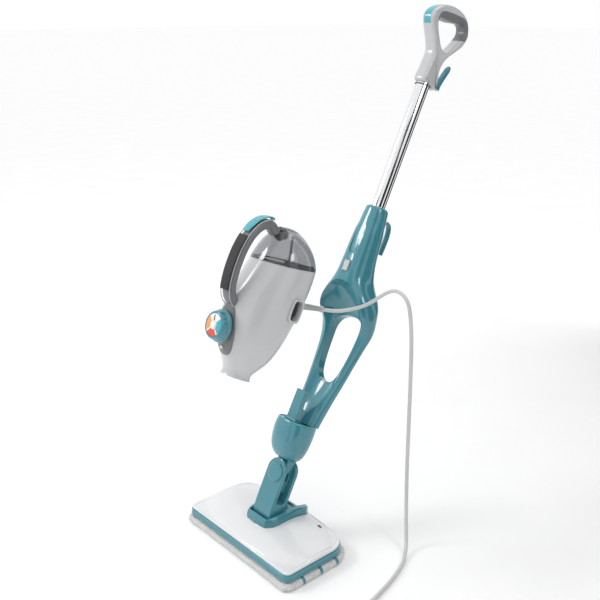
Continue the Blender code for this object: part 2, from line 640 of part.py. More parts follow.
def cradle_hollow(gap):
    """The hollow between the front and back shells, open to the back; gap shrinks it."""
    t = tool(loft(cradle_rings(C_WALL + gap, 0.05, SHELL_LOW + gap, SHELL_HIGH - gap)))
    carve(t, held_room(0.0018 + C_WALL + gap))
    carve(t, tool(prism(window_line(C_WALL + gap), "y", -0.2, 0.3)))
    return t


v, f = loft(cradle_rings())
cradle = add("cradle_frame", v, f, "pole", "teal_gloss")
carve(cradle, held_room(0.0018))
carve(cradle, cradle_hollow(0.0))
carve(cradle, tool(prism(window_line(0.0), "y", -0.2, 0.2)))
carve(cradle, tool(rod((0, 0, TUBE_LOW - 0.0005), (0, 0, 0.7), TUBE_R + GAP, 36)))
# round the tube the collar is hollow too, between its own wall and the sleeve that holds the tube
collar_room = tool(loft([ring(a - C_WALL, yf + COLLAR_FRONT, yb - C_WALL, z, 2.4, 30)
                         for z, a, yf, yb in [(z, *between(z, CRADLE)) for z in COLLAR_LEVELS]]))
carve(collar_room, tool(rod((0, 0, 0.40), (0, 0, 0.60), TUBE_R + GAP + 0.0022, 30)))
carve(cradle, collar_room)
# opening of the release button in the front face, and the shallow panel above it
carve(cradle, tool(box(-0.0067, 0.0067, -0.05, -0.0050, 0.4110, 0.4330)))
panel = [(-0.0105, 0.4560), (-0.0060, 0.4480), (0.0060, 0.4480), (0.0105, 0.4560),
         (0.0125, 0.5180), (-0.0125, 0.5180)]
carve(cradle, tool(prism(panel, "y", -0.05, -0.0232)))

back_cover = add("cradle_back", *loft(cradle_rings()), "pole", "teal_gloss")
carve(back_cover, cradle_hollow(GAP), "INTERSECT")
inner = [ring(a + 0.05, -0.15, yb - C_WALL, z, 6, 24) for z, a, yf, yb in CRADLE]
carve(back_cover, tool(loft(inner)))

v, f = box(-0.0062, 0.0062, -0.0305, -0.0090, 0.4115, 0.4325)
button = add("release_button", v, f, "pole", "light_grey", pivot=(0, -0.0200, 0.4220))
soften(button, 0.0009, 2, 40)

low_hook = smooth_line([(0.0268, 0.5260), (0.0400, 0.5290), (0.0500, 0.5230), (0.0540, 0.5080),
                        (0.0545, 0.4880), (0.0530, 0.4660)], 3)
v, f = bar(low_hook, (0.0055, 0.0036))
add("cord_hook_lower", v, f, "pole", "teal_gloss")

v, f = pipe((0, 0, TUBE_LOW), (0, 0, TUBE_HIGH), TUBE_R, TUBE_R - TUBE_WALL, 40)
add("pole_tube", v, f, "pole", "bright_alloy")

# ================================================================ D handle
INSERT_X = 0.0075         # half the width of the teal insert at the front corner
grip_out = smooth_loop([
    (-0.0168, 0.8060), (-0.0166, 0.8300), (-0.0152, 0.8500), (-0.0158, 0.8670), (-0.0262, 0.8826),
    (-0.0385, 0.8960), (-0.0520, 0.9124), (-0.0547, 0.9250), (-0.0482, 0.9380), (-0.0355, 0.9497),
    (-0.0230, 0.9565), (-0.0063, 0.9621), (0.0150, 0.9650), (0.0337, 0.9630), (0.0482, 0.9565),
    (0.0593, 0.9433), (0.0645, 0.9269), (0.0584, 0.9080), (0.0442, 0.8885), (0.0305, 0.8720),
    (0.0222, 0.8570), (0.0196, 0.8420), (0.0218, 0.8300), (0.0262, 0.8190), (0.0262, 0.8080),
    (0.0225, 0.8010), (0.0060, 0.8030)], 2)
grip_in = smooth_loop([
    (0.0180, 0.8785), (0.0060, 0.8785), (-0.0030, 0.8830), (-0.0130, 0.8925), (-0.0230, 0.9030),
    (-0.0305, 0.9140), (-0.0325, 0.9215), (-0.0260, 0.9265), (0.0040, 0.9330), (0.0280, 0.9420),
    (0.0420, 0.9445), (0.0500, 0.9400), (0.0520, 0.9300), (0.0455, 0.9140), (0.0370, 0.8985),
    (0.0275, 0.8850)], 2)
v, f = prism(grip_out, "x", -0.0150, 0.0150)
handle = add("d_handle", v, f, "pole", "white_gloss")
v, f = prism(grip_in, "x", -0.05, 0.05)
carve(handle, add("t", v, f, "pole", None))
soften(handle, 0.0052, 2, 50)
v, f = rod((0, 0, 0.7), (0, 0, TUBE_HIGH + GAP), TUBE_R + GAP, 40)
carve(handle, add("t", v, f, "pole", None))
insert_line = smooth_loop([(-0.0700, 0.9080), (-0.0700, 0.9600), (-0.0330, 0.9660), (-0.0270, 0.9600),
                           (-0.0330, 0.9440), (-0.0420, 0.9340), (-0.0460, 0.9260), (-0.0450, 0.9080)], 3)
v, f = prism(insert_line, "x", -INSERT_X, INSERT_X)
insert = add("handle_insert", v, f, "pole", "teal_light")
seat = twin(insert)
carve(insert, twin(handle), "INTERSECT")
seat.scale = (1.0 + GAP / INSERT_X, 1.0, 1.0)
bpy.context.view_layer.update()
carve(handle, seat)
# the handle is hollow, open to the tube
H_WALL, HOLLOW_LOW = 0.0030, 0.8500
hollow = add("t", *prism(inset(grip_out, H_WALL), "x", H_WALL - 0.0150, 0.0150 - H_WALL), "pole", None)
for keep_line in (grip_in, insert_line):
    carve(hollow, add("t", *prism(inset(keep_line, -H_WALL), "x", -0.05, 0.05), "pole", None))
carve(hollow, add("t", *box(-0.05, 0.05, -0.1, 0.1, 0.7, HOLLOW_LOW), "pole", None))
carve(handle, hollow)
carve(handle, add("t", *rod((0, 0, TUBE_HIGH - 0.01), (0, 0, HOLLOW_LOW + 0.0100), 0.0105, 24), "pole", None))
HOOK_Z, HOOK_PIN = 0.8160, 0.0055
v, f = rod((0, 0.0200, HOOK_Z), (0, 0.0355, HOOK_Z), HOOK_PIN, 24)
add("hook_pivot", v, f, "pole", "dark_grey")
v, f = rod((0, 0.0190, HOOK_Z), (0, 0.0400, HOOK_Z), HOOK_PIN + GAP, 24)
carve(handle, add("t", v, f, "pole", None))
hook_line = smooth_line([(0.0412, 0.8100), (0.0418, 0.8200), (0.0452, 0.8330), (0.0510, 0.8500),
                         (0.0560, 0.8640)], 3)
v, f = bar(hook_line, [(0.0058, 0.0054)] * (len(hook_line) - 2) + [(0.0052, 0.0048), (0.0034, 0.0030)])
add("cord_hook_upper", v, f, "pole", "teal_gloss", pivot=(0, 0.0410, HOOK_Z))

# ================================================================ handheld steamer
outer = body_rings(BODY)
inner = body_rings(BODY, -WALL)
inner[0] = [(x, y, 0.0) for x, y, z in inner[0]]
v, f = shell(outer, inner)
body = add("body_shell", v, f, "held", "warm_white")
outer = body_rings(DOME)
inner = body_rings(DOME[:-1], -WALL * 0.8, 0.0)
inner = inner[:-2] + [[(x, y, z - 0.0016) for x, y, z in inner[-2]]]
v, f = shell(outer, inner, closed_top=True)
add("water_tank", v, f, "held", "smoked_clear")
z_t, a_t, yf_t, yb_t, s_t = DOME[0]
v, f = loft([ring(a_t - 0.0030, yf_t + 0.0030, yb_t - 0.0030, z_t - 0.0075, 2.15, 34, s_t),
             ring(a_t - 0.0030, yf_t + 0.0030, yb_t - 0.0030, z_t - 0.0010, 2.15, 34, s_t)])
add("tank_floor", v, f, "held", "grey_plastic")
v, f = pipe((0.012, 0.020, 0.2190), (0.010, 0.006, 0.2680), 0.0024, 0.0014, 16)
add("filler_pipe", v, f, "held", "dark_grey")

# slot in the back of the neck, where the steam block goes in
v, f = box(-0.0145, 0.0145, 0.0055, 0.2, -0.01, 0.0610)
carve(body, add("t", v, f, "held", None))

# handle: from the cap on the tank, forward and down to the front of the body
arm_path = smooth_line([(-0.0300, 0.2640), (-0.0480, 0.2720), (-0.0660, 0.2640), (-0.0790, 0.2450),
                        (-0.0860, 0.2200), (-0.0880, 0.1950), (-0.0870, 0.1700), (-0.0820, 0.1450),
                        (-0.0720, 0.1300), (-0.0560, 0.1240)], 3)
v, f = bar(arm_path, [(0.0125, 0.0085)] * len(arm_path), 3.0, 18)
arm = add("handle_arm", v, f, "held", "grey_plastic")
for rows in (BODY, DOME):
    v, f = loft(body_rings(rows, GAP))
    carve(arm, add("t", v, f, "held", None))
# rubber grip on the outer side of the handle
outside = beside(arm_path, 0.0085 + GAP + 0.0020)
grip_path = [q for q in outside if q[0] < -0.08 and 0.1400 < q[1] < 0.2400]
v, f = bar(grip_path, (0.0115, 0.0020), 3.0, 12)
add("rubber_grip", v, f, "held", "black_rubber")
trig_path = [q for q in beside(arm_path, 0.0085 + TRIGGER_TRAVEL + 0.0018) if q[0] < -0.045 and q[1] > 0.2440]
v, f = bar(trig_path, (0.0095, 0.0018), 3.0, 12)
add("steam_trigger", v, f, "held", "teal_light", pivot=(0, -0.0500, 0.2840))
v, f = loft([ring(0.0050, -0.0475, -0.0400, 0.2815, 3, 20), ring(0.0042, -0.0470, -0.0405, 0.2860, 3, 20)])
add("trigger_lock", v, f, "held", "teal_light")

# grey plate round the dial, on the front of the body
plate_line = smooth_loop([(0.0, 0.0330), (0.0130, 0.0385), (0.0205, 0.0540), (0.0235, 0.0760),
                          (0.0205, 0.0960), (0.0130, 0.1150), (0.0, 0.1210), (-0.0130, 0.1150),
                          (-0.0205, 0.0960), (-0.0235, 0.0760), (-0.0205, 0.0540), (-0.0130, 0.0385)], 3)
v, f = prism(plate_line, "y", -0.0900, 0.0)
dial_plate = add("dial_plate", v, f, "held", "grey_plastic")
v, f = loft(body_rings(BODY, 0.0030))
carve(dial_plate, add("t", v, f, "held", None), "INTERSECT")
v, f = loft(body_rings(BODY, GAP))
carve(dial_plate, add("t", v, f, "held", None))
v, f = prism(plate_line, "y", -0.0900, 0.0)
plate_room = add("t", v, f, "held", None)
v, f = loft(body_rings(BODY, 0.0033))
carve(plate_room, add("t", v, f, "held", None), "INTERSECT")
carve(arm, plate_room)

DIAL_Z, DIAL_TIP = 0.0800, math.radians(6.0)


def dial_point(r, t, h):
    """A point on the dial: radius, angle, height above the plate along the dial's axis."""
    q = Matrix.Rotation(DIAL_TIP, 3, "X") @ Vector((r * math.cos(t), -h, r * math.sin(t)))
    return tuple(q + Vector((0, -0.0660, DIAL_Z)))


def turned(rows, n=36, flutes=0.0):
    return loft([[dial_point(r * (1 + flutes * math.cos(12 * 2 * math.pi * i / n)), 2 * math.pi * i / n, h)
                  for i in range(n)] for r, h in rows])


v, f = turned([(0.0285, 0.0046), (0.0290, 0.0060), (0.0285, 0.0080), (0.0262, 0.0092), (0.0252, 0.0120),
               (0.0246, 0.0190), (0.0232, 0.0212), (0.0212, 0.0216)])
knob = add("dial_knob", v, f, "held", "teal_gloss", pivot=dial_point(0, 0, 0.01))
v, f = turned([(0.0203, 0.0196), (0.0203, 0.0300)])
carve(knob, add("t", v, f, "held", None))
v, f = turned([(0.0200, 0.0199), (0.0200, 0.0213), (0.0190, 0.0219)])
add("dial_face", v, f, "held", "dial_white", pivot=dial_point(0, 0, 0.01))
v, f = rod(dial_point(0, 0, -0.0150), dial_point(0, 0, 0.0155), 0.0032, 24)
add("dial_shaft", v, f, "held", "steel", pivot=dial_point(0, 0, 0.01))
for part, play in ((knob, 0.00005), (dial_plate, RUN), (body, RUN + 0.0004)):
    v, f = rod(dial_point(0, 0, -0.0200), dial_point(0, 0, 0.0158), 0.0032 + play, 24)
    carve(part, add("t", v, f, "held", None))
v, f = rod((0, -0.0550, 0.0445), (0, -0.0522, 0.0445), 0.0024, 20)
add("indicator_light", v, f, "held", "dial_white")

# socket on the +X side, near the back, and the cord's bush
PORT_Y, PORT_Z = 0.0290, 0.1460


def port_line(w, h, y=PORT_Y, z=PORT_Z):
    return [(y + w * c, z + h * s) for c, s in (power(2 * math.pi * i / 32, 4.0) for i in range(32))]


v, f = prism(port_line(0.0135, 0.0215), "x", 0.0300, 0.0620)
rim = add("port_rim", v, f, "held", "warm_white")
v, f = prism(port_line(0.0100, 0.0180), "x", 0.0, 0.1)
carve(rim, add("t", v, f, "held", None))
v, f = prism(port_line(0.0138, 0.0218), "x", 0.0295, 0.1)
carve(body, add("t", v, f, "held", None))
v, f = prism(port_line(0.0097, 0.0177), "x", 0.0310, 0.0480)
add("port_seat", v, f, "held", "dark_grey")
v, f = prism([(PORT_Y + 0.0062 * c, PORT_Z + 0.0110 * s) for c, s in
              (power(2 * math.pi * i / 28, 2.2) for i in range(28))], "x", 0.0483, 0.0545)
add("port_plug", v, f, "held", "black_rubber")

# inside: boiler, pump, board and the pipe to the outlet
v, f = loft([ring(q, 0.006 - q, 0.006 + q, z, 2.0, 32) for q, z in
             ((0.022, 0.0720), (0.027, 0.0755), (0.027, 0.1235), (0.022, 0.1270))])
add("boiler", v, f, "held", "aluminium")
v, f = loft([ring(a - 0.0029, yf + 0.0029, yb - 0.0029, z, 2.15, 34) for z, a, yf, yb, _ in
             ((0.0655, 0.0496, -0.0572, 0.0580, 0), (0.0690, 0.0502, -0.0584, 0.0592, 0))])
tray = add("boiler_tray", v, f, "held", "dark_grey")
v, f = rod((0, 0.0145, 0.06), (0, 0.0145, 0.08), 0.0033, 20)
carve(tray, add("t", v, f, "held", None))
v, f = pipe((0, 0.0145, 0.0640), (0, 0.0145, 0.0717), 0.0030, 0.0018, 20)
add("outlet_pipe", v, f, "held", "steel")
v, f = rod((-0.030, 0.030, 0.1360), (0.016, 0.030, 0.1360), 0.0085, 24)
add("pump", v, f, "held", "dark_grey")
v, f = box(-0.030, 0.024, -0.0290, -0.0275, 0.0720, 0.1400)
add("control_board", v, f, "held", "board_green")

# cord bush and strain relief at the back of the handheld
BUSH = Vector((0, 0.0630, 0.1520))
BUSH_D = Vector((0, 1.0, 0.15)).normalized()
RELIEF_FROM, RELIEF_TO = 0.0218, 0.0850    # strain relief along the cord's way out
RELIEF_BEND = 0.250                        # it is bowed sideways by the weight of the cord


def out_path(d):
    """Centre, direction and side of the cord's way out, d from the bush."""
    t = max(0.0, d - RELIEF_FROM) / RELIEF_BEND
    at = BUSH + BUSH_D * (min(d, RELIEF_FROM) + RELIEF_BEND * math.sin(t))
    at += X_AXIS * (RELIEF_BEND * (1 - math.cos(t)))
    return at, BUSH_D * math.cos(t) + X_AXIS * math.sin(t), X_AXIS * math.cos(t) - BUSH_D * math.sin(t)


def along_bush(rows, n=28):
    """A turned piece on the cord's way out: rows of (distance, radius)."""
    w = Vector((0, -BUSH_D.z, BUSH_D.y))
    rings = []
    for d, q in rows:
        at, _, side = out_path(d)
        turn = [2 * math.pi * i / n for i in range(n)]
        rings.append([tuple(at + side * (q * math.cos(t)) + w * (q * math.sin(t))) for t in turn])
    return loft(rings)


v, f = along_bush([(0.0, 0.0086), (0.0150, 0.0086), (0.0165, 0.0080), (0.0215, 0.0076)])
add("cord_bush", v, f, "held", "dark_grey")
v, f = along_bush([(-0.004, 0.0090), (RELIEF_FROM, 0.0090)])
carve(body, add("t", v, f, "held", None))
v, f = along_bush([(RELIEF_FROM, 0.0066), (0.0300, 0.0068), (0.0400, 0.0064), (0.0500, 0.0060),
                   (0.0600, 0.0057), (0.0700, 0.0053), (0.0790, 0.0050), (0.0796, 0.0062),
                   (0.0842, 0.0062), (RELIEF_TO, 0.0050)], 18)
add("strain_relief", v, f, "held", "light_grey")


def chain(name, pts, r, finish, frame="world", n=10):
    """A round tube through the points, capped at both ends."""
    cu = bpy.data.curves.new(name, "CURVE")
    cu.dimensions, cu.bevel_depth, cu.bevel_resolution, cu.use_fill_caps = "3D", r, 2, True
    sp = cu.splines.new("POLY")
    sp.points.add(len(pts) - 1)
    for q, w in zip(sp.points, pts):
        q.co = (*w, 1)
    ob = bpy.data.objects.new(name, cu)
    bpy.context.collection.objects.link(ob)
    me = bpy.data.meshes.new_from_object(ob)
    bpy.data.objects.remove(ob, do_unlink=True)
    verts, faces = [tuple(v.co) for v in me.vertices], [tuple(f.vertices) for f in me.polygons]
    return add(name, verts, faces, frame, finish)


def spaced(pts, step):
    """Points every step along a line."""
    out, left = [Vector(pts[0])], step
    for a, b in zip(pts, pts[1:]):
        a, b = Vector(a), Vector(b)
        d = (b - a).length
        while d >= left:
            a = a + (b - a) * (left / d)
            out.append(a.copy())
            d, left = (b - a).length, step
        left -= d
    if (out[-1] - Vector(pts[-1])).length > step * 0.4:
        out.append(Vector(pts[-1]))
    else:
        out[-1] = Vector(pts[-1])
    return out


def eased(pts, times=8):
    """The line with its small kinks smoothed out, and nowhere under the floor."""
    for _ in range(times):
        inner = [(a + b * 2 + c) / 4 for a, b, c in zip(pts[1:], pts[2:], pts[3:])]
        pts = pts[:2] + inner + pts[-1:]
    return [Vector((q.x, q.y, max(q.z, FLAT))) for q in pts]


def world_of(y, z, x=0.0):
    return SWING + Vector((x, 0, 0)) + Y_POLE * y + Z_POLE * z


COIL = Vector((0.345, -0.050, 0.0))
COIL_R, COIL_T, COIL_H = 0.0430, 0.0150, 0.0290      # mean radius, half width and height of the wound ring
FLAT = CORD_R + 0.0003                               # height of the cord's centre where it lies on the floor
tip, tip_way, _ = out_path(RELIEF_TO)
START = world_of(tip.y + HELD_Y, tip.z + HELD_Z, tip.x)
START_WAY = X_AXIS * tip_way.x + Y_POLE * tip_way.y + Z_POLE * tip_way.z
# out of the strain relief, across the front of the cradle and over beside it
UPPER_ROUTE = [(0.0114, 0.1526, 0.4415), (0.0151, 0.1596, 0.4401), (0.0208, 0.1661, 0.4398),
               (0.0290, 0.1718, 0.4412), (0.0400, 0.1765, 0.4452), (0.0520, 0.1808, 0.4496),
               (0.0650, 0.1855, 0.4556), (0.0770, 0.1903, 0.4628), (0.0890, 0.1960, 0.4728),
               (0.0993, 0.2012, 0.4820), (0.1095, 0.2056, 0.4908), (0.1218, 0.2086, 0.4974)]
# down to the floor, along it and up onto the coil
LOWER_ROUTE = [(0.1352, 0.2100, 0.4980), (0.1476, 0.2107, 0.4928), (0.1566, 0.2110, 0.4829),
               (0.1606, 0.2110, 0.4715), (0.1655, 0.2106, 0.4470), (0.1703, 0.2095, 0.4050),
               (0.1735, 0.2080, 0.3300), (0.1760, 0.2060, 0.2400), (0.1795, 0.2030, 0.1550),
               (0.1850, 0.1990, 0.0900), (0.1950, 0.1900, 0.0420), (0.2110, 0.1740, 0.0140),
               (0.2310, 0.1450, 0.0042), (0.2460, 0.1120, FLAT), (0.2590, 0.0700, FLAT),
               (0.2680, 0.0300, FLAT), (0.2760, -0.0020, 0.0050), (0.2880, -0.0240, 0.0085)]
route = [tuple(START + START_WAY * 0.0006), tuple(START + START_WAY * 0.0060)] + UPPER_ROUTE + LOWER_ROUTE
line = eased(spaced([Vector(q) for q in smooth_line(route, 12)], CORD_STEP))
cut = min(range(len(line)), key=lambda k: (line[k] - Vector(UPPER_ROUTE[-1])).length)
way = (line[cut + 1] - line[cut - 1]).normalized()
first = START + START_WAY * GAP
upper = [first, first + START_WAY * 0.0040] + spaced(line[:cut + 1], 0.0150)[1:-1]
chain("cord_upper", upper + [line[cut] - way * 0.0040, line[cut] - way * GAP], CORD_R, "cord_grey")
lower = spaced(line[cut:], 0.0180)[1:]
chain("cord_lower", [line[cut], line[cut] + way * 0.0040] + lower, CORD_R, "cord_grey")


def wound_ring(cx, cy, z0, mean, half_w, high, n=30, m=10):
    """A ring of wound cord standing on z0."""
    rings = []
    for k in range(n):
        a = 2 * math.pi * k / n
        rings.append([(cx + (mean + half_w * c) * math.cos(a), cy + (mean + half_w * c) * math.sin(a),
                       z0 + high / 2 + high / 2 * q)
                      for c, q in (power(2 * math.pi * j / m + math.pi / m, 2.6) for j in range(m))])
    verts = [v for r in rings for v in r]
    faces = [(k * m + j, k * m + (j + 1) % m, ((k + 1) % n) * m + (j + 1) % m, ((k + 1) % n) * m + j)
             for k in range(n) for j in range(m)]
    return verts, faces


v, f = wound_ring(COIL.x, COIL.y, 0.0002, COIL_R, COIL_T, COIL_H)
add("cord_coil", v, f, "world", "cord_grey")

# the tail leaves the coil along a tangent and ends in the plug, which lies on the floor
PLUG_R = 0.0180
tail_a = math.radians(-100)
tail_r = COIL_R + COIL_T + CORD_R + GAP
TAIL = Vector((COIL.x + tail_r * math.cos(tail_a), COIL.y + tail_r * math.sin(tail_a), PLUG_R + 0.0003))
TAIL_D = Vector((-math.sin(tail_a), math.cos(tail_a), 0))


def along_tail(rows, n=20, squash=1.0):
    side = Vector((0, 0, 1)).cross(TAIL_D)
    return loft([[tuple(TAIL + TAIL_D * d + side * (q * math.cos(2 * math.pi * i / n))
                        + Vector((0, 0, q * squash * math.sin(2 * math.pi * i / n)))) for i in range(n)]
                 for d, q in rows])


v, f = along_tail([(0.0, CORD_R), (0.0250, CORD_R)], 12)
add("cord_tail", v, f, "world", "cord_grey")
v, f = along_tail([(0.0253, 0.0050), (0.0300, 0.0052), (0.0480, 0.0080), (0.0510, 0.0150), (0.0560, 0.0176),
                   (0.0760, PLUG_R), (0.0860, PLUG_R), (0.0880, 0.0172)])
add("plug_body", v, f, "world", "cord_grey")
for k, s in enumerate((-1, 1)):
    side = Vector((0, 0, 1)).cross(TAIL_D) * (0.0095 * s)
    a, b = TAIL + TAIL_D * 0.0883 + side, TAIL + TAIL_D * 0.1070 + side
    v, f = rod(a, b, 0.0024, 16)
    add("plug_pin_%d" % (k + 1), v, f, "world", "steel")
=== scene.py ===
import json
import math

import bmesh
import bpy
import mathutils
from mathutils import Matrix, Vector


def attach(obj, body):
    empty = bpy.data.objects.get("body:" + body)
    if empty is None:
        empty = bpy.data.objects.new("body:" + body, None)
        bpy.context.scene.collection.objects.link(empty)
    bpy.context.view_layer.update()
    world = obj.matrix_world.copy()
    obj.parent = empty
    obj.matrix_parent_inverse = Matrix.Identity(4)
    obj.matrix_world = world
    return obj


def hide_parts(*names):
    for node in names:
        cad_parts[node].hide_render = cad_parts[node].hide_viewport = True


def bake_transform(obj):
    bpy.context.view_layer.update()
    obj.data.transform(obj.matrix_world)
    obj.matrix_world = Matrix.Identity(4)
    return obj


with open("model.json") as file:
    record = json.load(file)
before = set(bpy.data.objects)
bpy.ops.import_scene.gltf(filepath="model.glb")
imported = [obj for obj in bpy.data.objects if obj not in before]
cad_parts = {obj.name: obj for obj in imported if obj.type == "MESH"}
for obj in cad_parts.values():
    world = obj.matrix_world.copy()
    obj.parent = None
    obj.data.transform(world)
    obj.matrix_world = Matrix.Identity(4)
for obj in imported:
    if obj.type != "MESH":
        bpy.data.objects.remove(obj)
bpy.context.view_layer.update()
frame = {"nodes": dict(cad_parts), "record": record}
NODES = frame["nodes"]

# ---------------------------------------------------------------- camera
CAMERA_TARGET, CAMERA_DISTANCE = Vector((-0.091, 0.170, 0.432)), 1.669
V_BACK = Vector((0.7061, -0.6265, 0.3300)).normalized()      # from the target towards the camera
V_RIGHT = Vector((0, 0, 1)).cross(V_BACK).normalized()
V_UP = V_BACK.cross(V_RIGHT)
cam = bpy.data.cameras.new("camera")
cam.lens, cam.sensor_width, cam.clip_start = 50.0, 36.0, 0.05
cam_ob = bpy.data.objects.new("camera", cam)
bpy.context.collection.objects.link(cam_ob)
m = Matrix((V_RIGHT, V_UP, V_BACK)).transposed().to_4x4()
m.translation = CAMERA_TARGET + V_BACK * CAMERA_DISTANCE
cam_ob.matrix_world = m
bpy.context.scene.camera = cam_ob

# ---------------------------------------------------------------- frames of the tilted pieces
GAP = 0.0003                        # clearance between pieces that fit into each other
LEAN = math.radians(27.28)
SWING = Vector((0, 0.040, 0.130))
X_AXIS = Vector((1, 0, 0))
HELD_Y, HELD_Z = -0.202, 0.162
AT_WORLD = Matrix.Identity(4)
AT_POLE = Matrix.Translation(SWING) @ Matrix.Rotation(-LEAN, 4, "X")
AT_HELD = AT_POLE @ Matrix.Translation((0, HELD_Y, HELD_Z))


def between(four, per):
    """Points of the smooth curve from the second to the third of four points, without its end."""
    return [tuple(0.5 * (2 * b + (c - a) * t + (2 * a - 5 * b + 4 * c - d) * t * t
                         + (3 * b - a - 3 * c + d) * t ** 3) for a, b, c, d in zip(*four))
            for t in (j / per for j in range(per))]


def smooth_line(pts, per=4):
    """An open smooth line through the points."""
    p = [tuple(2 * a - b for a, b in zip(pts[0], pts[1]))] + [tuple(q) for q in pts]
    p += [tuple(2 * a - b for a, b in zip(pts[-1], pts[-2]))]
    return [q for i in range(len(pts) - 1) for q in between(p[i:i + 4], per)] + [tuple(pts[-1])]


def smooth_loop(pts, per=4):
    """A closed smooth line through the points."""
    p = pts[-1:] + pts + pts[:2]
    return [q for i in range(len(pts)) for q in between(p[i:i + 4], per)]


def spaced(pts, step):
    """Points every step along a line."""
    out, left = [Vector(pts[0])], step
    for a, b in zip(pts, pts[1:]):
        a, b = Vector(a), Vector(b)
        d = (b - a).length
        while d >= left:
            a = a + (b - a) * (left / d)
            out.append(a.copy())
            d, left = (b - a).length, step
        left -= d
    if (out[-1] - Vector(pts[-1])).length > step * 0.4:
        out.append(Vector(pts[-1]))
    else:
        out[-1] = Vector(pts[-1])
    return out


def around(n):
    """The angles of n even steps round a circle."""
    return [2 * math.pi * i / n for i in range(n)]


def power(t, p):
    """A point of the unit squircle of power p at angle t."""
    c, s = math.cos(t), math.sin(t)
    return (math.copysign(abs(c) ** (2 / p), c), math.copysign(abs(s) ** (2 / p), s))


def tube(path, r, n=14):
    """Points and faces of a round tube whose rings sit at the path's points."""
    path = [Vector(p) for p in path]
    t0 = (path[1] - path[0]).normalized()
    side = t0.orthogonal().normalized()
    rings = []
    for k, p in enumerate(path):
        t = (path[min(k + 1, len(path) - 1)] - path[max(k - 1, 0)]).normalized()
        side = (side - t * side.dot(t)).normalized()
        w = t.cross(side)
        q = r[k] if isinstance(r, (list, tuple)) else r
        rings.append([tuple(p + side * (q * math.cos(a)) + w * (q * math.sin(a)))
                      for a in around(n)])
    return loft(rings)


def loft(rings):
    """Points and faces of a solid through the rings, capped at both ends."""
    n = len(rings[0])
    verts = [v for r in rings for v in r]
    faces = [(k * n + i, k * n + (i + 1) % n, (k + 1) * n + (i + 1) % n, (k + 1) * n + i)
             for k in range(len(rings) - 1) for i in range(n)]
    faces += [tuple(range(n))[::-1], tuple((len(rings) - 1) * n + i for i in range(n))]
    return verts, faces


def piece(name, verts, faces, place=AT_WORLD, smooth=40):
    """A new object from points in its own frame, its mesh in world coordinates."""
    me = bpy.data.meshes.new(name)
    me.from_pydata([tuple(place @ Vector(v)) for v in verts], [], faces)
    bm = bmesh.new()
    bm.from_mesh(me)
    bmesh.ops.remove_doubles(bm, verts=bm.verts, dist=1e-7)
    bmesh.ops.recalc_face_normals(bm, faces=bm.faces)
    bm.to_mesh(me)
    bm.free()
    ob = bpy.data.objects.new(name, me)
    bpy.context.collection.objects.link(ob)
    shade(ob, smooth)
    return ob


def shade(ob, angle=40):
    """Smooth faces, with edges sharper than the angle kept crisp."""
    bm = bmesh.new()
    bm.from_mesh(ob.data)
    for f in bm.faces:
        f.smooth = True
    for e in bm.edges:
        e.smooth = len(e.link_faces) != 2 or e.calc_face_angle(0) < math.radians(angle)
    bm.to_mesh(ob.data)
    bm.free()


# ---------------------------------------------------------------- cord, coil and plug
CORD_R, CORD_STEP = 0.0036, 0.0045
FLAT = CORD_R + GAP                 # height of the cord's centre where it lies on the floor
COIL = Vector((0.345, -0.050, 0.0))
COIL_R, COIL_T = 0.0430, 0.0150
TIP = Vector((0.00795, 0.1464 + HELD_Y, 0.1645 + HELD_Z))    # end of the strain relief, pole coordinates
TIP_WAY = Vector((0.2501, 0.9574, 0.1436))
START = AT_POLE @ TIP
START_WAY = (AT_POLE.to_3x3() @ TIP_WAY).normalized()
ROUTE = [
    (0.0114, 0.1526, 0.4415), (0.0151, 0.1596, 0.4401), (0.0208, 0.1661, 0.4398),
    (0.0290, 0.1718, 0.4412), (0.0400, 0.1765, 0.4452), (0.0520, 0.1808, 0.4496),
    (0.0650, 0.1855, 0.4556), (0.0770, 0.1903, 0.4628), (0.0890, 0.1960, 0.4728),
    (0.0993, 0.2012, 0.4820), (0.1095, 0.2056, 0.4908), (0.1218, 0.2086, 0.4974),
    (0.1352, 0.2100, 0.4980), (0.1476, 0.2107, 0.4928), (0.1566, 0.2110, 0.4829),
    (0.1606, 0.2110, 0.4715), (0.1655, 0.2106, 0.4470), (0.1703, 0.2095, 0.4050),
    (0.1735, 0.2080, 0.3300), (0.1760, 0.2060, 0.2400), (0.1795, 0.2030, 0.1550),
    (0.1850, 0.1990, 0.0900), (0.1950, 0.1900, 0.0420), (0.2110, 0.1740, 0.0140),
    (0.2310, 0.1450, 0.0042), (0.2460, 0.1120, FLAT), (0.2590, 0.0700, FLAT), (0.2680, 0.0300, FLAT),
    (0.2760, -0.0020, 0.0050)]
TURN_STEP = 2 * CORD_R                # the turns lie side by side, four to a layer
LAYERS, TURNS = 4, 15
COIL_FIRST = 172                      # degrees round the coil where the cord comes onto it
COIL_BASE = CORD_R + 0.0008           # the tie passes under the lowest turns


def eased(pts, times=8):
    """The line with its small kinks smoothed out, and nowhere under the floor."""
    for _ in range(times):
        inner = [(a + b * 2 + c) / 4 for a, b, c in zip(pts[1:], pts[2:], pts[3:])]
        pts = pts[:2] + inner + pts[-1:]
    return [Vector((q.x, q.y, max(q.z, FLAT))) for q in pts]


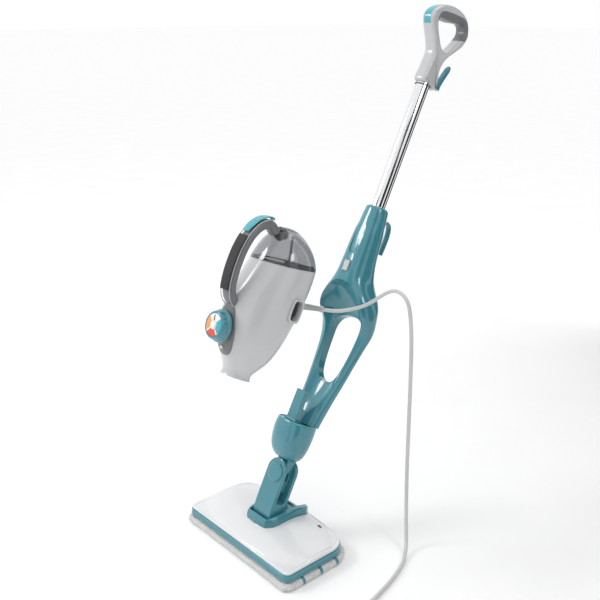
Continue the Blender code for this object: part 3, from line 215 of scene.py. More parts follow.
def coil_path():
    """The wound turns, from the lowest layer's outer one; even layers run inwards and odd ones outwards."""
    pts, per, ease_from = [], 26, 0.78
    first = math.radians(COIL_FIRST)
    slots = []
    for layer in range(LAYERS):
        radii = [COIL_R + TURN_STEP * (1.5 - k) for k in range(4)]
        slots += [(r, layer) for r in (radii if layer % 2 == 0 else radii[::-1])]
    slots = slots[:TURNS]
    for s, (r, layer) in enumerate(slots):
        r2, layer2 = slots[min(s + 1, len(slots) - 1)]
        for j in range(per):
            t = j / per
            e = max(0.0, (t - ease_from) / (1 - ease_from))
            e = e * e * (3 - 2 * e)
            a = first + 2 * math.pi * t
            q, z = r + (r2 - r) * e, layer + (layer2 - layer) * e
            pts.append((COIL.x + q * math.cos(a), COIL.y + q * math.sin(a), COIL_BASE + TURN_STEP * z))
    return pts


TAIL_AT = math.radians(260)
TAIL_R = COIL_R + COIL_T + CORD_R + GAP
TAIL_WAY = Vector((-math.sin(TAIL_AT), math.cos(TAIL_AT), 0))
TAIL = Vector((COIL.x + TAIL_R * math.cos(TAIL_AT), COIL.y + TAIL_R * math.sin(TAIL_AT), 0.0183))


def tail_path():
    """From the last turn over the outermost one and off the coil to the plug."""
    pts, a0 = [], math.radians(COIL_FIRST)
    over = smooth_line([(0.0, 0.0466, 0.0264), (0.3, 0.0500, 0.0266), (0.55, 0.0548, 0.0262),
                        (0.8, 0.0602, 0.0225), (1.0, TAIL_R, TAIL.z)], 6)    # part of the way, radius, height
    for t, q, z in over[1:]:
        a = a0 + (TAIL_AT - a0) * t
        pts.append((COIL.x + q * math.cos(a), COIL.y + q * math.sin(a), z))
    return pts + [tuple(TAIL + TAIL_WAY * d) for d in (0.006, 0.012, 0.018, 0.0250)]


route = [tuple(START + START_WAY * d) for d in (0.0, 0.0030, 0.0060)] + ROUTE
turns = coil_path()
onto_coil = (0.2850, -0.0220, 0.0047)
line = eased(spaced(smooth_line(route + [onto_coil] + turns[:1], 12), CORD_STEP))[:-1]
line += [Vector(q) for q in turns + tail_path()]
cord = piece("mains_cord", *tube(line, CORD_R, 12))
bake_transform(cord)
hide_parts("cord_upper", "cord_lower", "cord_coil", "cord_tail")
TIE_H, TIE_MID = 0.0298, 0.0155       # height of the strap's loop, and of its middle


def coil_tie(angle, wide=0.0120):
    """A hook-and-loop strap closed round the coil."""
    c, s = math.cos(math.radians(angle)), math.sin(math.radians(angle))
    out = Vector((c, s, 0))
    along = Vector((-s, c, 0))
    rings = []
    for grow, off in ((0.0004, -0.5), (0.0010, -0.46), (0.0010, 0.46), (0.0004, 0.5)):
        ring_pts = []
        for q, h in (power(t, 4.0) for t in around(40)):
            at = COIL + out * (COIL_R + q * (COIL_T + grow)) + along * (wide * off)
            ring_pts.append((at.x, at.y, TIE_MID + h * (TIE_H + grow) / 2))
        rings.append(ring_pts)
    return loft(rings)


tie = piece("coil_tie", *coil_tie(75))
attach(tie, "pole")


# ---------------------------------------------------------------- materials
def nodes_of(name):
    """A new material, its tree and its Principled shader."""
    m = bpy.data.materials.new(name)
    m.use_nodes = True
    t = m.node_tree
    return m, t, t.nodes["Principled BSDF"]


def put(t, node, **values):
    """Sets a node's inputs to numbers or links them to outputs; _ in a name stands for a space."""
    for key, value in values.items():
        socket = node.inputs[key.replace("_", " ")]
        if isinstance(value, bpy.types.NodeSocket):
            t.links.new(value, socket)
        else:
            socket.default_value = value


def new(t, kind, **values):
    """A new shader node with its inputs set."""
    node = t.nodes.new("ShaderNode" + kind)
    put(t, node, **values)
    return node


def coords(t, scale=(1, 1, 1)):
    """Object coordinates, stretched by the scale."""
    c = new(t, "TexCoord")
    return new(t, "Mapping", Scale=scale, Vector=c.outputs["Object"]).outputs["Vector"]


def noise(t, vec, scale, detail=3.0, rough=0.5):
    """A noise value; scale is in cells per metre."""
    return new(t, "TexNoise", Scale=scale, Detail=detail, Roughness=rough, Vector=vec).outputs["Fac"]


def ramp(t, fac, stops, stepped=False):
    """Colours along a value, blended or, if stepped, with hard edges."""
    r = new(t, "ValToRGB", Fac=fac)
    if stepped:
        r.color_ramp.interpolation = "CONSTANT"
    el = r.color_ramp.elements
    while len(el) < len(stops):
        el.new(0.5)
    for e, (pos, col) in zip(el, stops):
        e.position, e.color = pos, (*col, 1)
    return r.outputs["Color"]


def spread(t, fac, lo, hi):
    """The value stretched from 0..1 to lo..hi."""
    return new(t, "MapRange", To_Min=lo, To_Max=hi, Value=fac).outputs["Result"]


def mixed(t, fac, a, b):
    """Colour a where fac is 0 and b where it is 1."""
    mix = t.nodes.new("ShaderNodeMix")
    mix.data_type = "RGBA"
    put(t, mix, Factor=fac, A=a, B=b)
    return mix.outputs["Result"]


def bump(t, height, shader, strength=0.3, distance=0.0005):
    """Relief on a shader's surface, distance metres deep."""
    b = new(t, "Bump", Strength=strength, Distance=distance, Height=height)
    put(t, shader, Normal=b.outputs["Normal"])


def plastic(name, color, rough=0.3, vary=0.04, grain=900.0, depth=0.00002, coat=0.0, scuffs=0.06):
    """Moulded plastic: faint flow marks in the colour, fine grain, and slightly duller handled patches."""
    m, t, s = nodes_of(name)
    vec = coords(t)
    soft, patch = noise(t, vec, 14.0, 4.0), noise(t, vec, 32.0, 6.0, 0.65)
    dark = tuple(c * (1 - vary) for c in color)
    light = tuple(min(1.0, c * (1 + vary)) for c in color)
    put(t, s, Base_Color=ramp(t, soft, [(0.30, dark), (0.70, light)]),
        Roughness=spread(t, patch, max(0.02, rough - scuffs), rough + scuffs),
        Coat_Weight=coat, Coat_Roughness=0.05, IOR=1.50)
    bump(t, noise(t, vec, grain, 2.0), s, 0.35, depth)
    return m


def metal(name, color, rough, brushed=(1, 1, 1), depth=0.00001, scale=400.0):
    """Metal with a drawn or polished grain stretched along one direction."""
    m, t, s = nodes_of(name)
    fine = noise(t, coords(t, brushed), scale, 4.0, 0.6)
    dull = tuple(c * 0.94 for c in color)
    put(t, s, Base_Color=ramp(t, fine, [(0.25, dull), (0.75, color)]),
        Roughness=spread(t, fine, rough * 0.7, rough * 1.4), Metallic=1.0)
    bump(t, fine, s, 0.25, depth)
    return m


def smoked(name, tint=(0.60, 0.61, 0.63)):
    """Clear plastic with a grey tint and faint water marks."""
    m, t, s = nodes_of(name)
    vec = coords(t)
    marks = noise(t, vec, 45.0, 5.0, 0.6)
    stain = tuple(c * 0.93 for c in tint)
    put(t, s, Base_Color=ramp(t, marks, [(0.3, tint), (0.8, stain)]),
        Roughness=spread(t, marks, 0.03, 0.09), Transmission_Weight=0.92, IOR=1.45)
    bump(t, noise(t, vec, 22.0, 2.0), s, 0.15, 0.0002)
    return m


DIAL_Y, DIAL_Z, DIAL_TIP = -0.0660, 0.0800, math.radians(6.0)
SECTOR_FROM = 0.0232                # distance from the dial's origin beyond which its face is coloured


def dial_print(name):
    """White dial with coloured sectors printed round it."""
    m, t, s = nodes_of(name)
    mp = new(t, "Mapping", Vector=new(t, "TexCoord").outputs["Object"])
    mp.vector_type = "TEXTURE"
    put(t, mp, Location=AT_HELD @ Vector((0, DIAL_Y, DIAL_Z)),
        Rotation=(math.radians(90) + DIAL_TIP - LEAN, 0, 0))
    vec = mp.outputs["Vector"]
    g = new(t, "TexGradient", Vector=vec)
    g.gradient_type = "RADIAL"
    white, orange, red, teal = (0.86, 0.86, 0.85), (0.80, 0.36, 0.10), (0.70, 0.09, 0.06), (0.07, 0.42, 0.50)
    sectors = ramp(t, g.outputs["Fac"], [(0.0, orange), (0.11, white), (0.14, red), (0.36, white),
                                         (0.39, teal), (0.62, white), (0.88, orange)], True)
    d = t.nodes.new("ShaderNodeVectorMath")
    d.operation = "LENGTH"
    t.links.new(vec, d.inputs[0])
    out = new(t, "MapRange", From_Min=SECTOR_FROM, From_Max=SECTOR_FROM + 0.0002, Value=d.outputs["Value"])
    put(t, s, Base_Color=mixed(t, out.outputs["Result"], (*white, 1), sectors),
        Roughness=spread(t, noise(t, vec, 60.0), 0.22, 0.34))
    return m


STRIPES = (-0.040, 0.003, 0.043)    # where the pad's teal bands lie, front to back
STRIPE_HALF = 0.0036


def terry(name):
    """Looped white towelling with three teal bands woven along it."""
    m, t, s = nodes_of(name)
    vec = coords(t)
    loops = noise(t, vec, 520.0, 3.0, 0.7)
    tufts = new(t, "TexVoronoi", Scale=620.0, Vector=vec)
    white = ramp(t, loops, [(0.35, (0.66, 0.66, 0.65)), (0.60, (0.93, 0.93, 0.92))])
    teal = ramp(t, loops, [(0.2, (0.045, 0.250, 0.300)), (0.75, (0.100, 0.400, 0.460))])
    xyz = new(t, "SeparateXYZ", Vector=vec)
    reach = 0.1
    across = new(t, "MapRange", From_Min=-reach, From_Max=reach, Value=xyz.outputs["Y"])
    stops = [(0.0, (0, 0, 0))]
    for y in STRIPES:
        u, half = (y + reach) / (2 * reach), STRIPE_HALF / (2 * reach)
        stops += [(u - half, (1, 1, 1)), (u + half, (0, 0, 0))]
    bands = ramp(t, across.outputs["Result"], stops, True)
    put(t, s, Base_Color=mixed(t, bands, white, teal), Roughness=spread(t, loops, 0.85, 1.0),
        Sheen_Weight=0.3)
    bump(t, tufts.outputs["Distance"], s, 1.0, 0.0020)
    return m


MATS = {
    "teal_gloss": plastic("teal_gloss", (0.050, 0.240, 0.295), 0.17, coat=0.6),
    # light teal of the trigger, insert and ribs; also the painted highlight on the collar's and cup's lips
    "teal_light": plastic("teal_light", (0.070, 0.400, 0.480), 0.22, coat=0.4),
    "white_gloss": plastic("white_gloss", (0.52, 0.53, 0.545), 0.20, 0.015, coat=0.4),
    "warm_white": plastic("warm_white", (0.56, 0.565, 0.575), 0.20, 0.02, coat=0.35),
    "grey_plastic": plastic("grey_plastic", (0.17, 0.175, 0.185), 0.32),
    "light_grey": plastic("light_grey", (0.52, 0.53, 0.54), 0.38),
    # dark grey of the cap, band, pointer and tank seal; also the painted shadow ring round the tube under the
    # handle
    "dark_grey": plastic("dark_grey", (0.075, 0.078, 0.084), 0.40),
    "dial_white": plastic("dial_white", (0.86, 0.86, 0.85), 0.28, 0.01),
    "cord_grey": plastic("cord_grey", (0.60, 0.60, 0.60), 0.42, 0.03, 1400.0, 0.00003),
    "board_green": plastic("board_green", (0.04, 0.18, 0.08), 0.5),
    "black_rubber": plastic("black_rubber", (0.018, 0.018, 0.020), 0.62, 0.2, 1800.0, 0.00012),
    "cover_white": plastic("cover_white", (0.76, 0.765, 0.775), 0.20, 0.015, coat=0.4),
    "terry_white": terry("terry"),
    "smoked_clear": smoked("smoked_clear"),
    "dial_print": dial_print("dial_print"),
    "bright_alloy": metal("bright_alloy", (0.86, 0.87, 0.89), 0.07, (1, 1, 0.05)),
    "steel": metal("steel", (0.62, 0.62, 0.63), 0.28, (1, 1, 0.1)),
    "aluminium": metal("aluminium", (0.74, 0.75, 0.76), 0.34, (0.05, 1, 1)),
}
SLOT_OF = {s["node"]: s["material_slot"] for s in frame["record"]["subparts"]}
for node_name, ob in NODES.items():
    ob.data.materials.clear()
    ob.data.materials.append(MATS[SLOT_OF[node_name]])
cord.data.materials.append(MATS["cord_grey"])
tie.data.materials.append(MATS["black_rubber"])


# ---------------------------------------------------------------- shape tools
def ring(a, yf, yb, z, p=2.4, n=96, rise=0.0):
    """One rounded section, a wide each side, from yf at the front to yb at the back."""
    out, mid, b = [], (yf + yb) / 2, (yb - yf) / 2
    for i in range(n):
        c, s = power(2 * math.pi * (i + 0.5) / n, p)
        y = mid + b * s
        out.append((a * c, y, z + rise * y))
    return out


def shell(outer, inner, closed_top=False):
    """Points and faces of a wall between two sets of rings, open below and, unless closed, above."""
    n, ko, ki = len(outer[0]), len(outer), len(inner)
    verts = [v for r in outer + inner for v in r]
    faces = []
    for first, count in ((0, ko), (ko, ki)):
        faces += [((first + k) * n + i, (first + k) * n + (i + 1) % n,
                   (first + k + 1) * n + (i + 1) % n, (first + k + 1) * n + i)
                  for k in range(count - 1) for i in range(n)]
    faces += [(i, (i + 1) % n, ko * n + (i + 1) % n, ko * n + i) for i in range(n)]
    top, low = (ko - 1) * n, (ko + ki - 1) * n
    if closed_top:
        faces += [tuple(top + i for i in range(n)), tuple(low + i for i in range(n))[::-1]]
    else:
        faces += [(top + i, top + (i + 1) % n, low + (i + 1) % n, low + i) for i in range(n)]
    return verts, faces


def prism(outline, along, lo, hi):
    """Points and faces of an outline pushed along an axis. Outline is in the other two axes."""
    n, verts = len(outline), []
    for h in (lo, hi):
        for u, v in outline:
            verts.append({"x": (h, u, v), "y": (u, h, v), "z": (u, v, h)}[along])
    faces = [(i, (i + 1) % n, n + (i + 1) % n, n + i) for i in range(n)]
    return verts, faces + [tuple(range(n))[::-1], tuple(range(n, 2 * n))]


def box(x0, x1, y0, y1, z0, z1):
    """Points and faces of a box, for a cut."""
    return prism([(x0, y0), (x1, y0), (x1, y1), (x0, y1)], "z", z0, z1)


def inset(loop, d):
    """A closed line moved inwards by d, or outwards if d is negative."""
    n = len(loop)
    turn = sum(a[0] * b[1] - b[0] * a[1] for a, b in zip(loop, loop[1:] + loop[:1]))
    d = math.copysign(1, turn) * d
    out = []
    for k, (u, v) in enumerate(loop):
        a, b = loop[k - 1], loop[(k + 1) % n]
        h = math.hypot(b[0] - a[0], b[1] - a[1])
        out.append((u - d * (b[1] - a[1]) / h, v + d * (b[0] - a[0]) / h))
    return out


def bar(path, sizes, p=3.0, n=32):
    """A rounded bar along a line of (y, z) in the middle plane; sizes are (half width, half depth)."""
    rings = []
    for k, (y, z) in enumerate(path):
        a, b = path[max(k - 1, 0)], path[min(k + 1, len(path) - 1)]
        t = Vector((0, b[0] - a[0], b[1] - a[1])).normalized()
        side = Vector((0, t.z, -t.y))
        hw, hd = sizes[k] if isinstance(sizes, list) else sizes
        rings.append([tuple(Vector((0, y, z)) + Vector((hw * c, 0, 0)) + side * (hd * s))
                      for c, s in (power(t, p) for t in around(n))])
    return loft(rings)


def beside(path, off):
    """A line of (y, z) moved sideways by off, to the left of its direction."""
    out = []
    for k, (y, z) in enumerate(path):
        a, b = path[max(k - 1, 0)], path[min(k + 1, len(path) - 1)]
        n = math.hypot(b[0] - a[0], b[1] - a[1])
        out.append((y + off * (b[1] - a[1]) / n, z - off * (b[0] - a[0]) / n))
    return out


def carve(ob, tool, how="DIFFERENCE"):
    """Cuts the tool out of a piece; the tool goes."""
    mod = ob.modifiers.new("cut", "BOOLEAN")
    mod.operation, mod.object, mod.solver = how, tool, "EXACT"
    settle(ob)
    bpy.data.objects.remove(tool, do_unlink=True)
    return ob


def cut(ob, shape, place, how="DIFFERENCE"):
    """Cuts a shape, given as points and faces in the frame of place, out of a piece."""
    return carve(ob, piece("tool", *shape, place), how)


def settle(ob):
    """A piece's modifiers become its mesh."""
    bpy.context.view_layer.update()
    me = bpy.data.meshes.new_from_object(ob.evaluated_get(bpy.context.evaluated_depsgraph_get()))
    ob.modifiers.clear()
    ob.data = me


def bevel(ob, width, segments, angle):
    """A modifier that rounds the edges sharper than the angle."""
    mod = ob.modifiers.new("round", "BEVEL")
    mod.width, mod.segments, mod.limit_method, mod.angle_limit = width, segments, "ANGLE", math.radians(angle)


def soften(ob, width, segments=3, angle=40):
    """Rounded edges."""
    bevel(ob, width, segments, angle)
    settle(ob)
    shade(ob)


def rod(start, end, r, n=40, r2=None):
    """A round bar between two points."""
    s, e = Vector(start), Vector(end)
    return tube([s, s.lerp(e, 0.5), e], [r, (r + (r2 or r)) / 2, r2 or r], n)


def finish(ob, body, mat, *stands_for, slot=None):
    """The piece rides on its body, has its material and stands for the CAD nodes named."""
    ob.data.materials.clear()
    ob.data.materials.append(MATS[mat])
    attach(ob, body)
    if stands_for:
        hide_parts(*stands_for)
    return ob


# ---------------------------------------------------------------- handheld steamer
BODY = [  # z, half width, front, back, rise
    (0.0000, 0.0275, -0.0275, 0.0275, 0.00), (0.0040, 0.0262, -0.0265, 0.0262, 0.00),
    (0.0110, 0.0262, -0.0275, 0.0268, 0.00), (0.0220, 0.0318, -0.0330, 0.0350, 0.00),
    (0.0380, 0.0405, -0.0435, 0.0470, 0.00), (0.0570, 0.0475, -0.0545, 0.0555, 0.00),
    (0.0850, 0.0535, -0.0635, 0.0640, 0.00), (0.1200, 0.0570, -0.0670, 0.0715, 0.02),
    (0.1500, 0.0580, -0.0625, 0.0765, 0.05), (0.1850, 0.0578, -0.0530, 0.0795, 0.10),
    (0.2150, 0.0572, -0.0440, 0.0770, 0.14)]
DOME = [
    (0.2158, 0.0570, -0.0438, 0.0768, 0.14), (0.2280, 0.0545, -0.0415, 0.0715, 0.13),
    (0.2420, 0.0495, -0.0375, 0.0630, 0.10), (0.2550, 0.0420, -0.0320, 0.0520, 0.08),
    (0.2660, 0.0325, -0.0245, 0.0395, 0.06), (0.2740, 0.0220, -0.0155, 0.0270, 0.04),
    (0.2790, 0.0115, -0.0070, 0.0150, 0.02), (0.2805, 0.0030, 0.0005, 0.0065, 0.00)]
WALL = 0.0024


def body_rings(rows, grow=0.0, n=96, per=3):
    """Sections of the handheld from the rows of a table, pushed outwards by grow."""
    return [ring(a + grow, yf - grow, yb + grow, z, 2.15, n, s) for z, a, yf, yb, s in smooth_line(rows, per)]


outer, inner = body_rings(BODY), body_rings(BODY, -WALL)
body = piece("handheld_body", *shell(outer, inner), AT_HELD)
PORT_Y, PORT_Z = 0.0290, 0.1460
BUSH = Vector((0, 0.0630, 0.1520))
BUSH_D = Vector((0, 1.0, 0.15)).normalized()


def port_line(w, h, n=64):
    """The filler port's outline in (y, z)."""
    return [(PORT_Y + w * c, PORT_Z + h * s) for c, s in (power(t, 4.0) for t in around(n))]


def dial_point(r, t, h):
    """A point on the dial: radius, angle, height above the plate along the dial's axis."""
    q = Matrix.Rotation(DIAL_TIP, 3, "X") @ Vector((r * math.cos(t), -h, r * math.sin(t)))
    return tuple(q + Vector((0, DIAL_Y, DIAL_Z)))


def turned(rows, n=96, flutes=0.0, count=24):
    """A solid turned round the dial's axis from (radius, height), with flutes in its middle part."""
    rings = []
    for r, h in rows:
        deep = flutes if 0.010 < h < 0.020 else 0.0
        rings.append([dial_point(r * (1 + deep * math.cos(count * t)), t, h) for t in around(n)])
    return loft(rings)


cut(body, box(-0.0145, 0.0145, 0.0055, 0.2, -0.01, 0.0610), AT_HELD)
cut(body, prism(port_line(0.0138, 0.0218), "x", 0.0295, 0.1), AT_HELD)
cut(body, rod(BUSH - BUSH_D * 0.004, BUSH + BUSH_D * 0.0218, 0.0090), AT_HELD)
cut(body, rod(dial_point(0, 0, -0.02), dial_point(0, 0, 0.0158), 0.0036), AT_HELD)
shade(body, 40)
finish(body, "handheld", "warm_white", "body_shell")

outer = body_rings(DOME)
inner = body_rings(DOME[:-1], -WALL * 0.8)
inner = inner[:-2] + [[(x, y, z - 0.0016) for x, y, z in inner[-2]]]
tank = piece("tank_dome", *shell(outer, inner, closed_top=True), AT_HELD)
finish(tank, "handheld", "smoked_clear", "water_tank")
_, a_t, yf_t, yb_t, s_t = DOME[0]
band = piece("tank_band", *shell([ring(a_t + g, yf_t - g, yb_t + g, z, 2.15, 96, s_t) for g, z in
                                  ((-0.0022, 0.2165), (-0.0022, 0.2195))],
                                 [ring(a_t - 0.0040, yf_t + 0.0040, yb_t - 0.0040, z, 2.15, 96, s_t)
                                  for z in (0.2165, 0.2195)]), AT_HELD)
finish(band, "handheld", "dark_grey")
# screw-in filler cap at the front of the tank, under the end of the handle
cap_a, cap_b = Vector((0, -0.0180, 0.2560)), Vector((0, -0.0060, 0.2745))
cap_d = (cap_b - cap_a).normalized()
cap_path = [cap_a + cap_d * d for d in (0, 0.001, 0.010, 0.0105, 0.0160, 0.0175)]
cap = piece("filler_neck", *tube(cap_path, [0.0080, 0.0086, 0.0100, 0.0130, 0.0130, 0.0118], 48), AT_HELD)
finish(cap, "handheld", "dark_grey")

ARM_PTS = [(-0.0300, 0.2640), (-0.0480, 0.2720), (-0.0660, 0.2640), (-0.0790, 0.2450), (-0.0860, 0.2200),
           (-0.0880, 0.1950), (-0.0870, 0.1700), (-0.0820, 0.1450), (-0.0720, 0.1300), (-0.0560, 0.1240)]
ARM_HALF, ARM_DEPTH = 0.0125, 0.0085
arm_path = smooth_line(ARM_PTS, 8)
arm = piece("handle_frame", *bar(arm_path, (ARM_HALF, ARM_DEPTH), 3.0, 40), AT_HELD)
for rows in (BODY, DOME):
    cut(arm, loft(body_rings(rows, 0.0003)), AT_HELD)
plate_line = smooth_loop([(0.0, 0.0330), (0.0130, 0.0385), (0.0205, 0.0540), (0.0235, 0.0760),
                          (0.0205, 0.0960), (0.0130, 0.1150), (0.0, 0.1210), (-0.0130, 0.1150),
                          (-0.0205, 0.0960), (-0.0235, 0.0760), (-0.0205, 0.0540), (-0.0130, 0.0385)], 6)
plate_room = piece("tool", *prism(plate_line, "y", -0.09, 0.0), AT_HELD)
cut(plate_room, loft(body_rings(BODY, 0.0033)), AT_HELD, "INTERSECT")
carve(arm, plate_room)
shade(arm, 40)
finish(arm, "handheld", "grey_plastic", "handle_arm")
outside = beside(arm_path, ARM_DEPTH + 0.0023)
grip_path = [q for q in outside if q[0] < -0.08 and 0.1400 < q[1] < 0.2400]
ribbed = [(0.0115, 0.0020 - 0.00045 * (k % 4 in (1, 2))) for k in range(len(grip_path) * 3)]
long_grip = smooth_line(grip_path, 3)
grip = piece("grip_rubber", *bar(long_grip, ribbed[:len(long_grip)], 3.0, 40), AT_HELD)
finish(grip, "handheld", "black_rubber", "rubber_grip")
for k, sx in enumerate((-1, 1)):
    edge = [(sx * 0.0121, y, z) for y, z in beside(arm_path, 0.0090) if y < -0.05]
    trim = piece("grip_trim_%d" % (k + 1), *tube(edge, 0.0008, 12), AT_HELD)
    finish(trim, "handheld", "light_grey")

TRIGGER_TRAVEL = 0.0026
trig_path = beside(arm_path, ARM_DEPTH + TRIGGER_TRAVEL + 0.0018)
trig_path = [(y, z) for y, z in trig_path if y < -0.045 and z > 0.2440]
last = len(trig_path) - 1
trig_sizes = [(0.0095 - 0.0022 * max(0.0, 1 - k / 5) - 0.0018 * max(0.0, 1 - (last - k) / 4), 0.0018)
              for k in range(last + 1)]
trigger = piece("trigger_lever", *bar(trig_path, trig_sizes, 3.0, 40), AT_HELD)
finish(trigger, "trigger", "teal_light", "steam_trigger")
RIB_HALF, RIB_FIRST = 0.0062, 14
for k in range(5):
    y, z = beside(arm_path, ARM_DEPTH + TRIGGER_TRAVEL + 0.0036)[RIB_FIRST + 2 * k]
    rib = tube([(x, y, z) for x in (-RIB_HALF, -0.0030, 0.0, 0.0030, RIB_HALF)],
               [0.0003, 0.0007, 0.0008, 0.0007, 0.0003], 10)
    finish(piece("trigger_rib_%d" % (k + 1), *rib, AT_HELD), "trigger", "teal_light")

dial_plate = piece("dial_surround", *prism(plate_line, "y", -0.09, 0.0), AT_HELD)
cut(dial_plate, loft(body_rings(BODY, 0.0030)), AT_HELD, "INTERSECT")
cut(dial_plate, loft(body_rings(BODY, 0.0003)), AT_HELD)
cut(dial_plate, rod(dial_point(0, 0, -0.02), dial_point(0, 0, 0.0158), 0.0036), AT_HELD)
soften(dial_plate, 0.0009, 2, 50)
finish(dial_plate, "handheld", "grey_plastic", "dial_plate")
KNOB = [(0.0275, 0.0046), (0.0288, 0.0052), (0.0291, 0.0062), (0.0288, 0.0078), (0.0266, 0.0090),
        (0.0254, 0.0104), (0.0251, 0.0120), (0.0246, 0.0190), (0.0240, 0.0203), (0.0229, 0.0213),
        (0.0214, 0.0217)]                                    # radius, height above the plate
knob = piece("dial_ring", *turned(KNOB, 144, 0.018), AT_HELD)
cut(knob, turned([(0.0203, 0.0196), (0.0203, 0.0300)]), AT_HELD)
cut(knob, rod(dial_point(0, 0, -0.02), dial_point(0, 0, 0.0158), 0.0034), AT_HELD)
shade(knob, 40)
finish(knob, "dial", "teal_gloss", "dial_knob")
disc = turned([(0.0200, 0.0199), (0.0200, 0.0211), (0.0196, 0.0216), (0.0186, 0.0219)])
face = piece("dial_disc", *disc, AT_HELD)
finish(face, "dial", "dial_print", "dial_face", slot="dial_white")
hub = turned([(0.0064, 0.0219), (0.0066, 0.0224), (0.0062, 0.0232), (0.0050, 0.0236)], 48)
finish(piece("dial_hub", *hub, AT_HELD), "dial", "dial_white")
needle = [dial_point(r, math.radians(96), 0.0222) for r in (0.0075, 0.0110, 0.0180)]
pointer = piece("dial_pointer", *tube(needle, [0.0009, 0.0009, 0.0005], 12), AT_HELD)
finish(pointer, "dial", "dark_grey")

rim = piece("port_collar", *prism(port_line(0.0135, 0.0215), "x", 0.0300, 0.0620), AT_HELD)
cut(rim, prism(port_line(0.0100, 0.0180), "x", 0.0, 0.1), AT_HELD)
soften(rim, 0.0013, 3, 50)
finish(rim, "handheld", "warm_white", "port_rim")

RELIEF_FROM, RELIEF_TO, RELIEF_BEND = 0.0218, 0.0850, 0.250
COLLAR_FROM, SLOT_FROM, SLOT_TO, SLOT_PITCH = 0.0790, 0.0245, 0.0765, 0.0026


def out_path(d):
    """Centre, direction and side of the cord's way out, d from the bush."""
    t = max(0.0, d - RELIEF_FROM) / RELIEF_BEND
    at = BUSH + BUSH_D * (min(d, RELIEF_FROM) + RELIEF_BEND * math.sin(t))
    at += X_AXIS * (RELIEF_BEND * (1 - math.cos(t)))
    return at, X_AXIS * math.cos(t) - BUSH_D * math.sin(t)


def slotted(d, i, n):
    """Radius of the strain relief: a taper of ribs with staggered slots, and a collar at its end."""
    if d > COLLAR_FROM:
        return 0.0062 - 0.0012 * max(0.0, (d - 0.0836) / 0.0014)
    body_r = 0.0068 - (0.0068 - 0.0050) * (d - RELIEF_FROM) / (COLLAR_FROM - RELIEF_FROM)
    if d < SLOT_FROM or d > SLOT_TO:
        return body_r
    k = int((d - SLOT_FROM) / SLOT_PITCH)
    inside = 0.30 < ((d - SLOT_FROM) / SLOT_PITCH) % 1.0 < 0.85
    quarter = ((i / n + 0.125 * (k % 2)) * 4) % 1.0
    return body_r - (0.0019 if inside and 0.14 < quarter < 0.86 else 0.0)


w_side = Vector((0, -BUSH_D.z, BUSH_D.y))
rings, n, steps = [], 48, 158
for k in range(steps + 1):
    d = RELIEF_FROM + (RELIEF_TO - RELIEF_FROM) * k / steps
    at, side = out_path(d)
    rings.append([tuple(at + (side * math.cos(t) + w_side * math.sin(t)) * slotted(d, i, n))
                  for i, t in enumerate(around(n))])
relief = piece("cord_relief", *loft(rings), AT_HELD, 50)
finish(relief, "handheld", "light_grey", "strain_relief")

# dark seal of the tank behind the smoky window
SEAL_TOP = 0.2335
band_out, band_in = ([r for r in body_rings(DOME, g) if r[24][2] < SEAL_TOP] for g in (-0.0045, -0.0062))
seal_band = [[r[i] for r in band_out] + [r[i] for r in band_in[::-1]] for i in range(-11, 12)]
finish(piece("tank_seal", *loft(seal_band), AT_HELD), "handheld", "dark_grey")

# ---------------------------------------------------------------- cradle, cup and steam block
CRADLE = [  # z, half width, front, back
    (0.1062, 0.0345, 0.0000, 0.0300), (0.1250, 0.0355, 0.0030, 0.0330), (0.1650, 0.0400, 0.0090, 0.0385),
    (0.2000, 0.0450, 0.0150, 0.0430), (0.2500, 0.0525, 0.0210, 0.0480), (0.2800, 0.0580, 0.0225, 0.0510),
    (0.3050, 0.0645, 0.0180, 0.0540), (0.3220, 0.0670, 0.0040, 0.0570), (0.3350, 0.0672, -0.0130, 0.0590),
    (0.3500, 0.0650, -0.0215, 0.0600), (0.3620, 0.0615, -0.0240, 0.0595), (0.3760, 0.0545, -0.0255, 0.0570),
    (0.3900, 0.0445, -0.0270, 0.0525), (0.4020, 0.0375, -0.0280, 0.0470), (0.4150, 0.0335, -0.0280, 0.0410),
    (0.4400, 0.0308, -0.0270, 0.0335), (0.4700, 0.0290, -0.0260, 0.0290), (0.5100, 0.0262, -0.0240, 0.0262),
    (0.5380, 0.0232, -0.0222, 0.0235), (0.5455, 0.0218, -0.0212, 0.0220), (0.5470, 0.0202, -0.0200, 0.0205)]
DOCK_Y, DOCK_Z = -0.036, 0.110
WINDOW_MID, BORE_R = 0.264, 0.0143
PANEL = [(-0.0105, 0.4560), (-0.0060, 0.4480), (0.0060, 0.4480), (0.0105, 0.4560), (0.0125, 0.5180),
         (-0.0125, 0.5180)]


def window_line(grow):
    """The window's outline in (x, z), pushed outwards by grow from its middle."""
    pts = [(0.016, 0.1990), (0.0265, 0.2150), (0.0330, 0.2450), (0.0375, 0.2850), (0.0385, 0.3060),
           (0.0320, 0.3230), (0.0150, 0.3315)]
    pts = [(0.0, 0.1950)] + pts + [(0.0, 0.3325)] + [(-x, z) for x, z in pts[::-1]]
    out = []
    for x, z in pts:
        k = 1 + grow / math.hypot(x, z - WINDOW_MID)
        out.append((x * k, WINDOW_MID + (z - WINDOW_MID) * k))
    return smooth_loop(out, 8)


